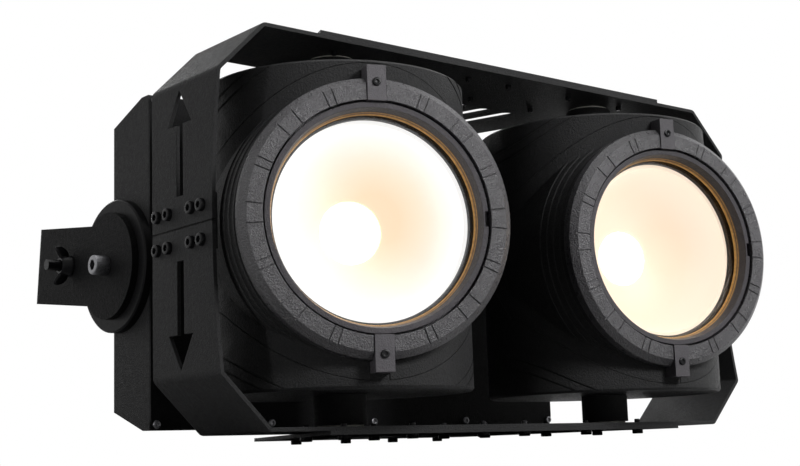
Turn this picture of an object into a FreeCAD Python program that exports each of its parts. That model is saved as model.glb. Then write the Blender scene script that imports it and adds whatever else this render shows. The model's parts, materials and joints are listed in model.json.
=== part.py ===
"""Audience blinder light: two swivelling lamp pods in a bent sheet frame, a rear box and a tilting yoke.

Frame of the part: +X to the right as seen from the front, +Y to the rear, +Z up. The origin lies under the
middle of the light, at the level of the lowest screw heads. All lengths are in millimetres.
"""
import FreeCAD, Part
import math
import os
from types import SimpleNamespace

import Sketcher

SIZES = {
    # Octagonal band of bent sheet round the pods
    "frame_height": 250.0,
    "frame_depth": 78.6,
    "frame_corner": 33.6,
    "frame_sheet": 2.5,
    "frame_bend": 3.0,
    "frame_bow": 7.5,
    "seam_gap": 0.3,
    "frame_setback": 128.66,
    # Arrow cut-outs in the side panels, measured from the seam
    "arrow_place": 44.5,
    "arrow_start": 20.0,
    "arrow_margin": 38.0,
    "arrow_point": 22.0,
    "arrow_shaft": 8.0,
    "arrow_head": 28.5,
    # Plates and screws that join the two halves
    "splice_sheet": 2.5,
    "splice_height": 34.0,
    "splice_front": 9.5,
    "splice_rear": 75.5,
    "side_screw_rise": 10.5,
    "side_screw_first": 18.8,
    "side_screw_second": 30.7,
    "side_screw_third": 58.0,
    "side_screw_fourth": 71.5,
    "screw_radius": 2.0,
    "screw_head_radius": 4.0,
    "screw_head_height": 3.0,
    "hole_clearance": 0.15,
    "overrun": 5.0,
    "seat_gap": 0.1,
    # Slotted plates over and under the band
    "link_sheet": 2.5,
    "link_front_width": 325.0,
    "link_rear_width": 202.0,
    "link_length": 178.0,
    "slot_width": 14.0,
    "slot_front": 93.0,
    "slot_rear": 143.0,
    "slot_datum": 81.0,
    "slot_first": 39.2,
    "slot_pitch": 25.15,
    "slot_slant": 17.8,
    "link_screw_near": 19.5,
    "link_screw_middle": 82.0,
    "link_screw_far": 138.0,
    "link_screw_front": 19.0,
    "link_screw_back": 60.0,
    "link_screw_tip": 3.0,
    # Rear box
    "box_width": 387.4,
    "box_front": 164.4,
    "box_lift": 6.5,
    "chassis_sheet": 2.0,
    "chassis_corner": 8.0,
    "cover_flat": 9.6,
    "bevel_depth": 42.0,
    "bevel_drop": 14.5,
    "cover_sheet": 2.0,
    "cover_flange": 14.0,
    "cover_screw_pitch": 94.8,
    "cover_screw_inset": 4.0,
    "cover_screw_radius": 1.5,
    "cover_screw_head_radius": 2.8,
    "cover_screw_head_height": 1.8,
    "cover_screw_tip": 2.0,
    "bush_radius": 5.0,
    "bush_place": 170.4,
    "bush_pitch": 46.0,
    "box_screw_tip": 1.5,
    # Inside of the rear box
    "supply_width": 130.0,
    "supply_headroom": 5.0,
    "supply_depth": 38.0,
    "supply_rise": 30.0,
    "supply_ledge": 14.0,
    "board_width": 150.0,
    "board_headroom": 35.0,
    "board_sheet": 1.6,
    "board_footroom": 10.0,
    "board_lift": 5.0,
    "board_foot_radius": 3.5,
    "board_foot_inset": 8.0,
    "board_part_height": 16.0,
    "board_part_radius": 7.0,
    "board_part_pitch": 24.0,
    # Rear face: display, buttons and sockets
    "display_width": 52.0,
    "display_height": 20.0,
    "display_rise": 170.0,
    "display_thickness": 2.0,
    "display_proud": 0.6,
    "button_rise": 145.0,
    "button_pitch": 20.0,
    "button_radius": 4.5,
    "button_proud": 2.6,
    "button_flange_radius": 6.0,
    "button_flange": 1.2,
    "button_fit": 0.08,
    "running_gap": 0.2,
    "socket_rise": 75.0,
    "socket_near": 100.0,
    "socket_far": 145.0,
    "socket_width": 26.0,
    "socket_height": 31.0,
    "socket_corner": 3.0,
    "socket_flange": 2.0,
    "socket_collar_radius": 11.5,
    "socket_collar": 3.0,
    "socket_bore_radius": 8.0,
    "socket_bore_depth": 14.0,
    "socket_barrel_radius": 11.0,
    "socket_barrel": 17.0,
    # Tilt pivots and yoke
    "pivot_depth": 207.5,
    "disc_radius": 48.0,
    "disc_thickness": 6.5,
    "disc_edge": 1.0,
    "yoke_sheet": 5.0,
    "yoke_width": 58.0,
    "yoke_end_radius": 38.5,
    "yoke_reach": 122.0,
    "yoke_bend": 7.0,
    "yoke_tilt": 6.9,
    "clamp_hole_radius": 6.5,
    "clamp_hole_pitch": 60.0,
    "pivot_screw_radius": 5.0,
    "pivot_head_radius": 7.0,
    "pivot_head_height": 11.0,
    "pivot_socket_radius": 4.0,
    "pivot_socket_depth": 5.0,
    "pivot_screw_tip": 8.0,
    "pivot_fit": 0.06,
    "yoke_bolt_place": 58.0,
    "yoke_bolt_radius": 4.0,
    "yoke_bolt_head": 5.3,
    "yoke_bolt_flats": 13.0,
    "yoke_bolt_stud": 19.0,
    "wing_hub_radius": 8.0,
    "wing_top_radius": 6.3,
    "wing_hub_height": 8.5,
    "wing_span": 30.0,
    "wing_height": 14.5,
    "wing_root": 3.0,
    "wing_thickness": 3.2,
    "wing_tip": 8.0,
    # Pods: places and upright drums
    "pod_gap": 56.6,
    "pod_side_room": 17.4,
    "pod_depth": 39.3,
    "lens_drop": 0.4,
    "left_turn": -20.67,
    "right_turn": -12.88,
    "seam_margin": 1.9,
    "drum_radius_inset": 10.0,
    "drum_bottom": 23.5,
    "drum_headroom": 26.5,
    "drum_wall": 2.5,
    "drum_edge": 1.5,
    "ridge_near": 16.0,
    "ridge_far": 21.5,
    "ridge_width": 1.0,
    "ridge_depth": 0.7,
    "post_radius": 17.2,
    "washer_radius": 15.0,
    "washer_thickness": 1.5,
    "pod_bolt_radius": 5.0,
    "pod_bolt_head_radius": 9.0,
    "pod_bolt_head": 2.2,
    "pod_bolt_fit": 0.06,
    # Bell: the stepped flare between ring and drum, distances from the swivel axis along the lens axis
    "bell_front": 85.5,
    "bell_front_radius_inset": 13.6,
    "bell_rim": 4.0,
    "bell_floor": 81.5,
    "bell_floor_sheet": 4.0,
    "bell_mouth_radius_inset": 34.5,
    "bell_flare_rear": 61.0,
    "bell_radius_inset": 7.5,
    "bell_ridge": 0.8,
    "bell_collar_rear": 12.0,
    "bell_end": 28.0,
    "bell_wall": 3.0,
    "bell_clearance": 0.3,
    # Ring, bezel, lens and clips
    "ring_radius_inset": 11.7,
    "ring_front": 96.9,
    "ring_bevel": 4.4,
    "ring_bore_radius_inset": 25.7,
    "ring_lip": 1.0,
    "ring_lip_depth": 89.5,
    "ring_groove": 0.8,
    "ring_groove_depth": 0.8,
    "ring_wide_turn": 4.4,
    "ring_narrow_turn": 2.0,
    "bezel_radius_inset": 27.0,
    "bezel_front": 95.1,
    "bezel_inner_radius_inset": 30.3,
    "bezel_step_depth": 89.5,
    "bezel_bore_radius_inset": 32.9,
    "bezel_edge": 1.0,
    "bezel_notch": 9.6,
    "bezel_notch_depth": 3.0,
    "lens_radius_inset": 27.4,
    "lens_thickness": 3.2,
    "clip_width": 12.0,
    "clip_slot_clearance": 0.3,
    "clip_foot_radius_inset": 26.5,
    "clip_top_radius_inset": 4.4,
    "clip_proud": 0.8,
    "clip_arm": 6.4,
    "clip_rear": 60.0,
    "clip_screw_place_inset": 15.0,
    "clip_screw_radius": 1.5,
    "clip_screw_head_radius": 2.6,
    "clip_screw_head": 1.2,
    "clip_screw_length": 10.0,
    # Light engine
    "reflector_rear": 33.0,
    "reflector_rear_radius": 20.0,
    "reflector_front_radius_inset": 37.0,
    "reflector_rim_radius_inset": 31.5,
    "reflector_rim": 1.6,
    "reflector_wall": 1.5,
    "reflector_curve": 46.6,
    "module_radius": 26.0,
    "module_thickness": 4.0,
    "emitter_radius": 19.5,
    "emitter_thickness": 0.8,
    "sink_radius_inset": 21.0,
    "sink_base": 8.0,
    "sink_half_inset": 47.0,
    "sink_depth_inset": 22.0,
    "fin_thickness": 2.4,
    "fin_margin": 21.1,
    "pillar_radius": 4.0,
    "pillar_place_inset": 26.7,
}

BELL_STEPS = 4
RING_SEGMENTS = 8
SLOTS_PER_SIDE = 3
COVER_SCREWS = 5
FIN_COUNT = 10

# How near an edge's place and its direction's cosine come to what is looked for.
MATCH = 0.01
MATCH_DIRECTION = 0.001


class Size:
    """A value together with the sheet expression that gives it."""

    def __init__(self, value, text):
        self.value = value
        self.text = text

    def __add__(self, other):
        other = as_size(other)
        return Size(self.value + other.value, f"({self.text} + {other.text})")

    def __sub__(self, other):
        other = as_size(other)
        return Size(self.value - other.value, f"({self.text} - {other.text})")

    def __rsub__(self, other):
        return as_size(other) - self

    def __mul__(self, other):
        other = as_size(other)
        return Size(self.value * other.value, f"({self.text} * {other.text})")

    def __truediv__(self, other):
        other = as_size(other)
        return Size(self.value / other.value, f"({self.text} / {other.text})")

    def __neg__(self):
        return Size(-self.value, f"(0 - {self.text})")

    __radd__ = __add__
    __rmul__ = __mul__


def as_size(value):
    if isinstance(value, Size):
        return value
    return Size(float(value), repr(value))


def sine(angle):
    return Size(math.sin(math.radians(angle.value)), f"sin({angle.text})")


def cosine(angle):
    return Size(math.cos(math.radians(angle.value)), f"cos({angle.text})")


def root(size):
    return Size(math.sqrt(size.value), f"sqrt({size.text})")


doc = FreeCAD.newDocument("audience_blinder")
sheet = doc.addObject("Spreadsheet::Sheet", "Sizes")
for row, (name, value) in enumerate(SIZES.items(), 1):
    sheet.set(f"A{row}", name)
    sheet.set(f"B{row}", str(value))
    sheet.setAlias(f"B{row}", name)
doc.recompute()
s = SimpleNamespace(**{name: Size(value, f"Sizes.{name}") for name, value in SIZES.items()})

# What follows from the frame's height: the lens axis, the drum's top and the seam between bell and drum.
# Each size that ends in _inset gives the radius or place that many millimetres within the seam.
s.lens_height = s.frame_height / 2 - s.lens_drop
s.drum_top = s.frame_height - s.drum_headroom
s.seam_radius = s.drum_top - s.lens_height - s.seam_margin
for inset in [name for name in SIZES if name.endswith("_inset")]:
    setattr(s, inset.removesuffix("_inset"), s.seam_radius - getattr(s, inset))

# The pods stand side by side in the frame, which encloses them.
s.pod_pitch = s.seam_radius * 2 + s.pod_gap
s.frame_width = s.pod_pitch + (s.seam_radius + s.pod_side_room) * 2

# Cut-outs, boards and fins keep their margins.
s.arrow_tip = s.frame_height / 2 - s.arrow_margin
s.arrow_neck = s.arrow_tip - s.arrow_point
s.supply_height = s.frame_height / 2 - s.supply_headroom - s.supply_rise
s.board_rise = s.frame_height / 2 + s.board_footroom
s.board_height = s.frame_height - s.board_headroom - s.board_rise
s.fin_pitch = (s.sink_radius - s.fin_margin) * 2 / (FIN_COUNT - 1)
nodes = []


# Helpers for sketches and features


def new_body(label):
    body = doc.addObject("PartDesign::Body", label)
    body.Label = label
    body.AllowCompound = True
    return body


def new_sketch(body, role, offset=0):
    """A sketch on one of the body's own origin planes, moved along the plane's normal by the offset."""
    plane = next(feature for feature in body.Origin.OriginFeatures if feature.Role == role)
    sketch = body.newObject("Sketcher::SketchObject", body.Name + "_sketch")
    sketch.AttachmentSupport = [(plane, "")]
    sketch.MapMode = "FlatFace"
    offset = as_size(offset)
    if offset.value:
        sketch.setExpression("AttachmentOffset.Base.z", offset.text)
    return sketch


def dimension(sketch, kind, items, size):
    number = sketch.addConstraint(Sketcher.Constraint(kind, *items, size.value))
    sketch.setExpression(f"Constraints[{number}]", size.text)


def pin(sketch, edge, point, u, v):
    """Dimension a point from the sketch origin, or put it on an axis where its distance is nought."""
    for kind, axis, size in (("DistanceX", -2, u), ("DistanceY", -1, v)):
        if size.value == 0:
            sketch.addConstraint(Sketcher.Constraint("PointOnObject", edge, point, axis))
        else:
            dimension(sketch, kind, (-1, 1, edge, point), size)


def draw_outline(sketch, points):
    """A closed outline. A corner is (u, v), or (u, v, centre u, centre v, radius, turn) where an arc follows it."""
    corners = [[as_size(value) for value in point] for point in points]
    first = sketch.GeometryCount
    starts, ends = [], []
    for corner, following in zip(corners, corners[1:] + corners[:1]):
        here = FreeCAD.Vector(corner[0].value, corner[1].value, 0)
        there = FreeCAD.Vector(following[0].value, following[1].value, 0)
        if len(corner) == 2:
            sketch.addGeometry(Part.LineSegment(here, there), False)
            starts.append(1)
            ends.append(2)
            continue
        centre = FreeCAD.Vector(corner[2].value, corner[3].value, 0)
        anticlockwise = corner[5].value > 0
        low, high = (here, there) if anticlockwise else (there, here)
        begin = math.atan2(low.y - centre.y, low.x - centre.x)
        finish = math.atan2(high.y - centre.y, high.x - centre.x)
        if finish <= begin:
            finish += 2 * math.pi
        circle = Part.Circle(centre, FreeCAD.Vector(0, 0, 1), corner[4].value)
        sketch.addGeometry(Part.ArcOfCircle(circle, begin, finish), False)
        starts.append(1 if anticlockwise else 2)
        ends.append(2 if anticlockwise else 1)
    count = len(corners)
    for index in range(count):
        after = (index + 1) % count
        sketch.addConstraint(
            Sketcher.Constraint("Coincident", first + index, ends[index], first + after, starts[after]))
    for index, corner in enumerate(corners):
        pin(sketch, first + index, starts[index], corner[0], corner[1])
        if len(corner) > 2:
            dimension(sketch, "Radius", (first + index,), corner[4])


def draw_box(sketch, low_u, high_u, low_v, high_v):
    draw_outline(sketch, [(low_u, low_v), (high_u, low_v), (high_u, high_v), (low_u, high_v)])


def draw_circle(sketch, u, v, radius):
    u, v, radius = as_size(u), as_size(v), as_size(radius)
    centre = FreeCAD.Vector(u.value, v.value, 0)
    number = sketch.addGeometry(Part.Circle(centre, FreeCAD.Vector(0, 0, 1), radius.value), False)
    dimension(sketch, "Radius", (number,), radius)
    pin(sketch, number, 3, u, v)


def sweep(body, kind, sketch, length, backwards=False):
    feature = body.newObject("PartDesign::" + kind, body.Name + "_" + kind.lower())
    feature.Profile = sketch
    feature.Reversed = backwards
    feature.setExpression("Length", as_size(length).text)
    return feature


def pad(body, sketch, length, backwards=False):
    """Add material along the sketch normal, or against it."""
    return sweep(body, "Pad", sketch, length, backwards)


def cut(body, sketch, length):
    """Remove material along the sketch normal."""
    return sweep(body, "Pocket", sketch, length, True)


def turned(body, kind, sketch):
    """A full turn of the sketch about its vertical axis: Revolution adds and Groove removes."""
    feature = body.newObject("PartDesign::" + kind, body.Name + "_" + kind.lower())
    feature.Profile = sketch
    feature.ReferenceAxis = (sketch, ["V_Axis"])
    feature.Angle = 360
    return feature


def repeated(body, feature, sketch, axis, count):
    """Copies of a feature, spaced evenly round an axis of its sketch."""
    pattern = body.newObject("PartDesign::PolarPattern", body.Name + "_pattern")
    pattern.Originals = [feature]
    pattern.Axis = (sketch, [axis])
    pattern.Angle = 360
    pattern.Occurrences = count
    body.Tip = pattern
    return pattern


def rounded(body, radius, chosen):
    """Round the edges of the body that the test picks."""
    doc.recompute()
    base = body.Tip
    names = [f"Edge{i}" for i, edge in enumerate(base.Shape.Edges, 1) if chosen(edge)]
    fillet = body.newObject("PartDesign::Fillet", body.Name + "_fillet")
    fillet.Base = (base, names)
    fillet.setExpression("Radius", as_size(radius).text)
    return fillet


def place(obj, x, y, z, axis=(0, 0, 1), angle=0):
    obj.Placement = FreeCAD.Placement(FreeCAD.Vector(0, 0, 0), FreeCAD.Rotation(FreeCAD.Vector(*axis), 1))
    for name, size in (("Base.x", x), ("Base.y", y), ("Base.z", z), ("Rotation.Angle", angle)):
        obj.setExpression("Placement." + name, as_size(size).text)
    nodes.append(obj)


def near(value, size):
    return abs(value - size.value) < MATCH


def runs_along(edge, axis):
    """True for a straight edge along the axis (0, 1 or 2 for X, Y or Z)."""
    if edge.Curve.TypeId != "Part::GeomLine":
        return False
    return abs(abs(edge.Curve.Direction[axis]) - 1) < MATCH_DIRECTION


STAND = s.link_sheet + s.screw_head_height
HALF_WIDTH = s.frame_width / 2
MIDDLE = s.frame_height / 2
LAPS = (-1, 1)


def place_on_frame(obj):
    place(obj, 0, -s.frame_setback, STAND)


# Band


def half_outline(corner, edge, top):
    """Closed outline of a bent half, open towards the seam. The top half is the bottom one mirrored in height."""
    bend = s.frame_sheet * (root(as_size(2)) - 1)
    outer = [(HALF_WIDTH, edge), (HALF_WIDTH, corner), (HALF_WIDTH - corner, 0)]
    inner = [
        (HALF_WIDTH - s.frame_sheet, edge),
        (HALF_WIDTH - s.frame_sheet, corner + bend),
        (HALF_WIDTH - corner - bend, s.frame_sheet),
    ]
    half = [(-u, v) for u, v in outer] + [(u, v) for u, v in reversed(outer)]
    half += [(u, v) for u, v in inner] + [(-u, v) for u, v in reversed(inner)]
    if top:
        return [(u, s.frame_height - v) for u, v in half]
    return half


def cut_bow(body):
    """Curved front edge of the side panels: an arc from corner bend to corner bend."""
    reach = MIDDLE - s.frame_corner
    radius = (reach * reach + s.frame_bow * s.frame_bow) / (s.frame_bow * 2)
    sketch = new_sketch(body, "YZ_Plane", -HALF_WIDTH - s.overrun)
    top = s.frame_height - s.frame_corner
    draw_outline(sketch, [
        (-s.overrun, s.frame_corner),
        (0, s.frame_corner, s.frame_bow - radius, MIDDLE, radius, 1),
        (0, top),
        (-s.overrun, top),
    ])
    cut(body, sketch, s.frame_width + s.overrun * 2)


def cut_arrow(body, way):
    """Arrow through both side panels, pointing away from the seam."""
    sketch = new_sketch(body, "YZ_Plane", -HALF_WIDTH - s.overrun)
    shaft, head = s.arrow_shaft / 2, s.arrow_head / 2
    half = [(shaft, s.arrow_start), (shaft, s.arrow_neck), (head, s.arrow_neck), (as_size(0), s.arrow_tip)]
    points = half + [(-u, v) for u, v in reversed(half[:3])]
    draw_outline(sketch, [(s.arrow_place + u, MIDDLE + v * way) for u, v in points])
    cut(body, sketch, s.frame_width + s.overrun * 2)


def side_screw_places(ways=LAPS):
    rows = (s.side_screw_first, s.side_screw_second, s.side_screw_third, s.side_screw_fourth)
    return [(row, MIDDLE + s.side_screw_rise * way) for way in ways for row in rows]


def link_screw_places():
    columns = (s.link_screw_near, s.link_screw_middle, s.link_screw_far)
    rows = (s.link_screw_front, s.link_screw_back)
    return [(column * side, row) for side in LAPS for column in columns for row in rows]


def make_half(label, way):
    body = new_body(label)
    sketch = new_sketch(body, "XZ_Plane")
    draw_outline(sketch, half_outline(s.frame_corner, MIDDLE - s.seam_gap / 2, way > 0))
    pad(body, sketch, s.frame_depth, True)
    inner = s.frame_width.value / 2 - s.frame_sheet.value
    edge_level = s.frame_height.value if way > 0 else 0

    def is_bend(edge):
        middle = edge.CenterOfMass
        off_seam = abs(middle.z - MIDDLE.value) > s.frame_height.value / 4
        return runs_along(edge, 1) and off_seam

    def is_outer(edge):
        x, level = abs(edge.CenterOfMass.x), abs(edge.CenterOfMass.z - edge_level)
        return is_bend(edge) and (x > inner + s.frame_sheet.value / 2 or level < s.frame_sheet.value / 2)

    rounded(body, s.frame_bend + s.frame_sheet, is_outer)
    rounded(body, s.frame_bend, lambda edge: is_bend(edge) and is_inner_corner(edge, edge_level))
    cut_bow(body)
    cut_arrow(body, way)
    sketch = new_sketch(body, "YZ_Plane", -HALF_WIDTH - s.overrun)
    for u, v in side_screw_places((way,)):
        draw_circle(sketch, u, v, s.screw_radius + s.hole_clearance)
    cut(body, sketch, s.frame_width + s.overrun * 2)
    floor = s.frame_height - s.frame_sheet if way > 0 else as_size(0)
    sketch = new_sketch(body, "XY_Plane", floor - s.overrun)
    for u, v in link_screw_places():
        draw_circle(sketch, u, v, s.screw_radius + s.hole_clearance)
    for side in LAPS:
        draw_circle(sketch, s.pod_pitch / 2 * side, s.pod_depth, s.pod_bolt_radius + s.pod_bolt_fit)
    cut(body, sketch, s.frame_sheet + s.overrun * 2)
    place_on_frame(body)


def is_inner_corner(edge, level):
    """True for the two inner bend lines of each corner."""
    sheet_gap = s.frame_sheet.value
    x = s.frame_width.value / 2 - abs(edge.CenterOfMass.x)
    z = abs(edge.CenterOfMass.z - level)
    return near(x, s.frame_sheet) or abs(z - sheet_gap) < MATCH


def make_splice_plate(label, side):
    """Plate behind the seam, flat against the inner face of the side panels."""
    body = new_body(label)
    inner = HALF_WIDTH - s.frame_sheet
    start = inner - s.splice_sheet if side > 0 else -inner
    sketch = new_sketch(body, "YZ_Plane", start)
    half = s.splice_height / 2
    draw_box(sketch, s.splice_front, s.splice_rear, MIDDLE - half, MIDDLE + half)
    for u, v in side_screw_places():
        draw_circle(sketch, u, v, s.screw_radius + s.hole_clearance)
    pad(body, sketch, s.splice_sheet)
    place_on_frame(body)


def add_screws(body, role, face, places, radius, head_radius, head_height, length, backwards):
    """Screws whose heads lie on a face: heads along the plane's normal and shanks against it, or the reverse."""
    for size, reach, back in ((head_radius, head_height, backwards), (radius, length, not backwards)):
        sketch = new_sketch(body, role, face)
        for u, v in places:
            draw_circle(sketch, u, v, size)
        pad(body, sketch, reach, back)


def make_splice_screws():
    body = new_body("splice_screws")
    length = s.frame_sheet + s.splice_sheet
    for side in LAPS:
        add_screws(body, "YZ_Plane", HALF_WIDTH * side, side_screw_places(), s.screw_radius,
                   s.screw_head_radius, s.screw_head_height, length, side < 0)
    place_on_frame(body)


# Link plates


def slot_outline(side, number):
    """Round-ended slot that slants inwards to the rear. Each end is two quarter arcs."""
    first = s.slot_first + s.slot_pitch * number
    half = s.slot_width / 2
    slope = sine(s.slot_slant) / cosine(s.slot_slant)
    across = (half * cosine(s.slot_slant), half * sine(s.slot_slant))
    points = []
    for depth, way in ((s.slot_rear, 1), (s.slot_front, -1)):
        u = first - (depth - s.slot_datum) * slope
        arc = (u * side, depth, half, side)
        points.append(((u + across[0] * way) * side, depth + across[1] * way) + arc)
        points.append(((u - across[1] * way) * side, depth + across[0] * way) + arc)
        points.append(((u - across[0] * way) * side, depth - across[1] * way))
    return points


def bush_places():
    return [(s.bush_pitch * (number - 3 / 2), s.bush_place) for number in range(4)]


def make_link_plate(label, base):
    """Trapezoid plate: wide at the band's front edge, narrow over the rear box."""
    body = new_body(label)
    sketch = new_sketch(body, "XY_Plane", base)
    front, rear = s.link_front_width / 2, s.link_rear_width / 2
    draw_outline(sketch, [(-front, 0), (front, 0), (rear, s.link_length), (-rear, s.link_length)])
    pad(body, sketch, s.link_sheet)
    under, through = base - s.overrun, s.link_sheet + s.overrun * 2
    for side in LAPS:
        for number in range(SLOTS_PER_SIDE):
            sketch = new_sketch(body, "XY_Plane", under)
            draw_outline(sketch, slot_outline(side, number))
            cut(body, sketch, through)
    sketch = new_sketch(body, "XY_Plane", under)
    for side in LAPS:
        draw_circle(sketch, s.pod_pitch / 2 * side, s.pod_depth, s.pod_bolt_head_radius + s.bell_clearance)
    for u, v in link_screw_places() + bush_places():
        draw_circle(sketch, u, v, s.screw_radius + s.hole_clearance)
    cut(body, sketch, through)
    place_on_frame(body)


def make_link_screws():
    body = new_body("link_screws")
    length = s.link_sheet + s.frame_sheet + s.link_screw_tip
    for face, below in ((-s.link_sheet, True), (s.frame_height + s.link_sheet, False)):
        add_screws(body, "XY_Plane", face, link_screw_places(), s.screw_radius, s.screw_head_radius,
                   s.screw_head_height, length, below)
    place_on_frame(body)


def make_box_bushes():
    body = new_body("box_bushes")
    for base in (as_size(0), s.frame_height - s.box_lift):
        sketch = new_sketch(body, "XY_Plane", base)
        for u, v in bush_places():
            draw_circle(sketch, u, v, s.bush_radius)
            draw_circle(sketch, u, v, s.screw_radius + s.hole_clearance)
        pad(body, sketch, s.box_lift)
    place_on_frame(body)


def make_box_screws():
    body = new_body("box_screws")
    length = s.link_sheet + s.box_lift + s.cover_sheet + s.box_screw_tip
    for face, below in ((-s.link_sheet, True), (s.frame_height + s.link_sheet, False)):
        add_screws(body, "XY_Plane", face, bush_places(), s.screw_radius, s.screw_head_radius,
                   s.screw_head_height, length, below)
    place_on_frame(body)


# Rear box

BOX_TOP = s.frame_height - s.box_lift
BOX_HALF = s.box_width / 2
COVER_FRONT = s.box_front + s.chassis_sheet
BEVEL_START = COVER_FRONT + s.cover_flat
COVER_REAR = BEVEL_START + s.bevel_depth


def cover_screw_places():
    columns = [s.cover_screw_pitch * (number - (COVER_SCREWS - 1) / 2) for number in range(COVER_SCREWS)]
    rows = (s.box_lift + s.cover_screw_inset, BOX_TOP - s.cover_screw_inset)
    return [(column, row) for row in rows for column in columns]


def make_chassis_plate():
    body = new_body("chassis_plate")
    sketch = new_sketch(body, "XZ_Plane", -s.box_front)
    draw_box(sketch, -BOX_HALF, BOX_HALF, s.box_lift, BOX_TOP)
    for u, v in cover_screw_places():
        draw_circle(sketch, u, v, s.cover_screw_radius + s.hole_clearance)
    pad(body, sketch, s.chassis_sheet, True)

    def is_corner(edge):
        return runs_along(edge, 1) and near(abs(edge.CenterOfMass.x), BOX_HALF)

    rounded(body, s.chassis_corner, is_corner)
    place_on_frame(body)


def cover_profile(wall):
    """Side view of the cover: flat, bevel, rear face, bevel, flat. The wall sets it in from the outside."""
    slope = s.bevel_drop / s.bevel_depth
    slant = root(slope * slope + 1)
    flat_end = BEVEL_START - wall * (slant - 1) / slope
    rear_level = s.box_lift + (s.bevel_depth - wall) * slope + wall * slant
    lower = [(flat_end, s.box_lift + wall), (COVER_REAR - wall, rear_level)]
    return lower + [(u, s.frame_height - v) for u, v in reversed(lower)]


def button_places():
    return [(s.button_pitch * (number - 3 / 2), s.button_rise) for number in range(4)]


def socket_places():
    return [(-s.socket_far, s.socket_rise), (-s.socket_near, s.socket_rise),
            (s.socket_near, s.socket_rise), (s.socket_far, s.socket_rise)]


def make_rear_cover():
    body = new_body("rear_cover")
    sketch = new_sketch(body, "YZ_Plane", -BOX_HALF)
    shape = cover_profile(as_size(0))
    draw_outline(sketch, [(COVER_FRONT, s.box_lift)] + shape + [(COVER_FRONT, BOX_TOP)])
    pad(body, sketch, s.box_width)
    sketch = new_sketch(body, "YZ_Plane", -BOX_HALF + s.cover_sheet)
    floor = COVER_FRONT + s.cover_sheet
    room = cover_profile(s.cover_sheet)
    draw_outline(sketch, [(floor, s.box_lift + s.cover_sheet)] + room + [(floor, BOX_TOP - s.cover_sheet)])
    cut(body, sketch, s.box_width - s.cover_sheet * 2)
    sketch = new_sketch(body, "XZ_Plane", -COVER_FRONT - s.cover_sheet - s.overrun / 2)
    window_u, window_v = BOX_HALF - s.cover_flange, s.box_lift + s.cover_flange
    draw_box(sketch, -window_u, window_u, window_v, s.frame_height - window_v)
    cut(body, sketch, s.cover_sheet + s.overrun)
    sketch = new_sketch(body, "XZ_Plane", -COVER_FRONT - s.cover_sheet - s.overrun / 2)
    for u, v in cover_screw_places():
        draw_circle(sketch, u, v, s.cover_screw_radius + s.hole_clearance)
    cut(body, sketch, s.cover_sheet + s.overrun)
    sketch = new_sketch(body, "XZ_Plane", -COVER_REAR - s.overrun / 2)
    half = s.display_width / 2 + s.seat_gap
    low = s.display_rise - s.display_height / 2 - s.seat_gap
    draw_box(sketch, -half, half, low, low + s.display_height + s.seat_gap * 2)
    for u, v in button_places():
        draw_circle(sketch, u, v, s.button_radius + s.button_fit)
    for u, v in socket_places():
        draw_circle(sketch, u, v, s.socket_barrel_radius + s.hole_clearance)
    cut(body, sketch, s.cover_sheet + s.overrun)
    sketch = new_sketch(body, "XY_Plane", s.box_lift - s.overrun / 2)
    for u, v in bush_places():
        draw_circle(sketch, u, v, s.screw_radius + s.hole_clearance)
    cut(body, sketch, s.cover_sheet + s.overrun)
    sketch = new_sketch(body, "XY_Plane", BOX_TOP - s.cover_sheet - s.overrun / 2)
    for u, v in bush_places():
        draw_circle(sketch, u, v, s.screw_radius + s.hole_clearance)
    cut(body, sketch, s.cover_sheet + s.overrun)
    sketch = new_sketch(body, "YZ_Plane", -BOX_HALF - s.overrun)
    draw_circle(sketch, s.pivot_depth, MIDDLE, s.pivot_screw_radius + s.hole_clearance)
    cut(body, sketch, s.box_width + s.overrun * 2)
    place_on_frame(body)


def make_cover_screws():
    body = new_body("cover_screws")
    length = s.chassis_sheet + s.cover_sheet + s.cover_screw_tip
    add_screws(body, "XZ_Plane", -s.box_front, cover_screw_places(), s.cover_screw_radius,
               s.cover_screw_head_radius, s.cover_screw_head_height, length, False)
    place_on_frame(body)


def make_power_supply():
    """Cased supply on the chassis plate, with a low ledge for its terminals."""
    body = new_body("power_supply")
    sketch = new_sketch(body, "XZ_Plane", -COVER_FRONT)
    half = s.supply_width / 2
    draw_box(sketch, -half, half, s.supply_rise, s.supply_rise + s.supply_height)
    pad(body, sketch, s.supply_depth, True)
    sketch = new_sketch(body, "XZ_Plane", -COVER_FRONT - s.supply_depth - s.overrun)
    draw_box(sketch, half - s.supply_ledge, half + s.overrun, s.supply_rise - s.overrun,
             s.supply_rise + s.supply_height + s.overrun)
    cut(body, sketch, s.supply_depth / 2 + s.overrun)
    place_on_frame(body)


def make_driver_board():
    """Circuit board on four feet, with a row of tall round parts and a flat heat spreader."""
    body = new_body("driver_board")
    half, top = s.board_width / 2, s.board_rise + s.board_height
    sketch = new_sketch(body, "XZ_Plane", -COVER_FRONT - s.board_lift)
    draw_box(sketch, -half, half, s.board_rise, top)
    pad(body, sketch, s.board_sheet, True)
    sketch = new_sketch(body, "XZ_Plane", -COVER_FRONT)
    for u in (-half + s.board_foot_inset, half - s.board_foot_inset):
        for v in (s.board_rise + s.board_foot_inset, top - s.board_foot_inset):
            draw_circle(sketch, u, v, s.board_foot_radius)
    pad(body, sketch, s.board_lift, True)
    sketch = new_sketch(body, "XZ_Plane", -COVER_FRONT - s.board_lift - s.board_sheet)
    for number in range(4):
        draw_circle(sketch, s.board_part_pitch * (number - 3 / 2), s.board_rise + s.board_height / 2,
                    s.board_part_radius)
    pad(body, sketch, s.board_part_height, True)
    place_on_frame(body)


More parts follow.
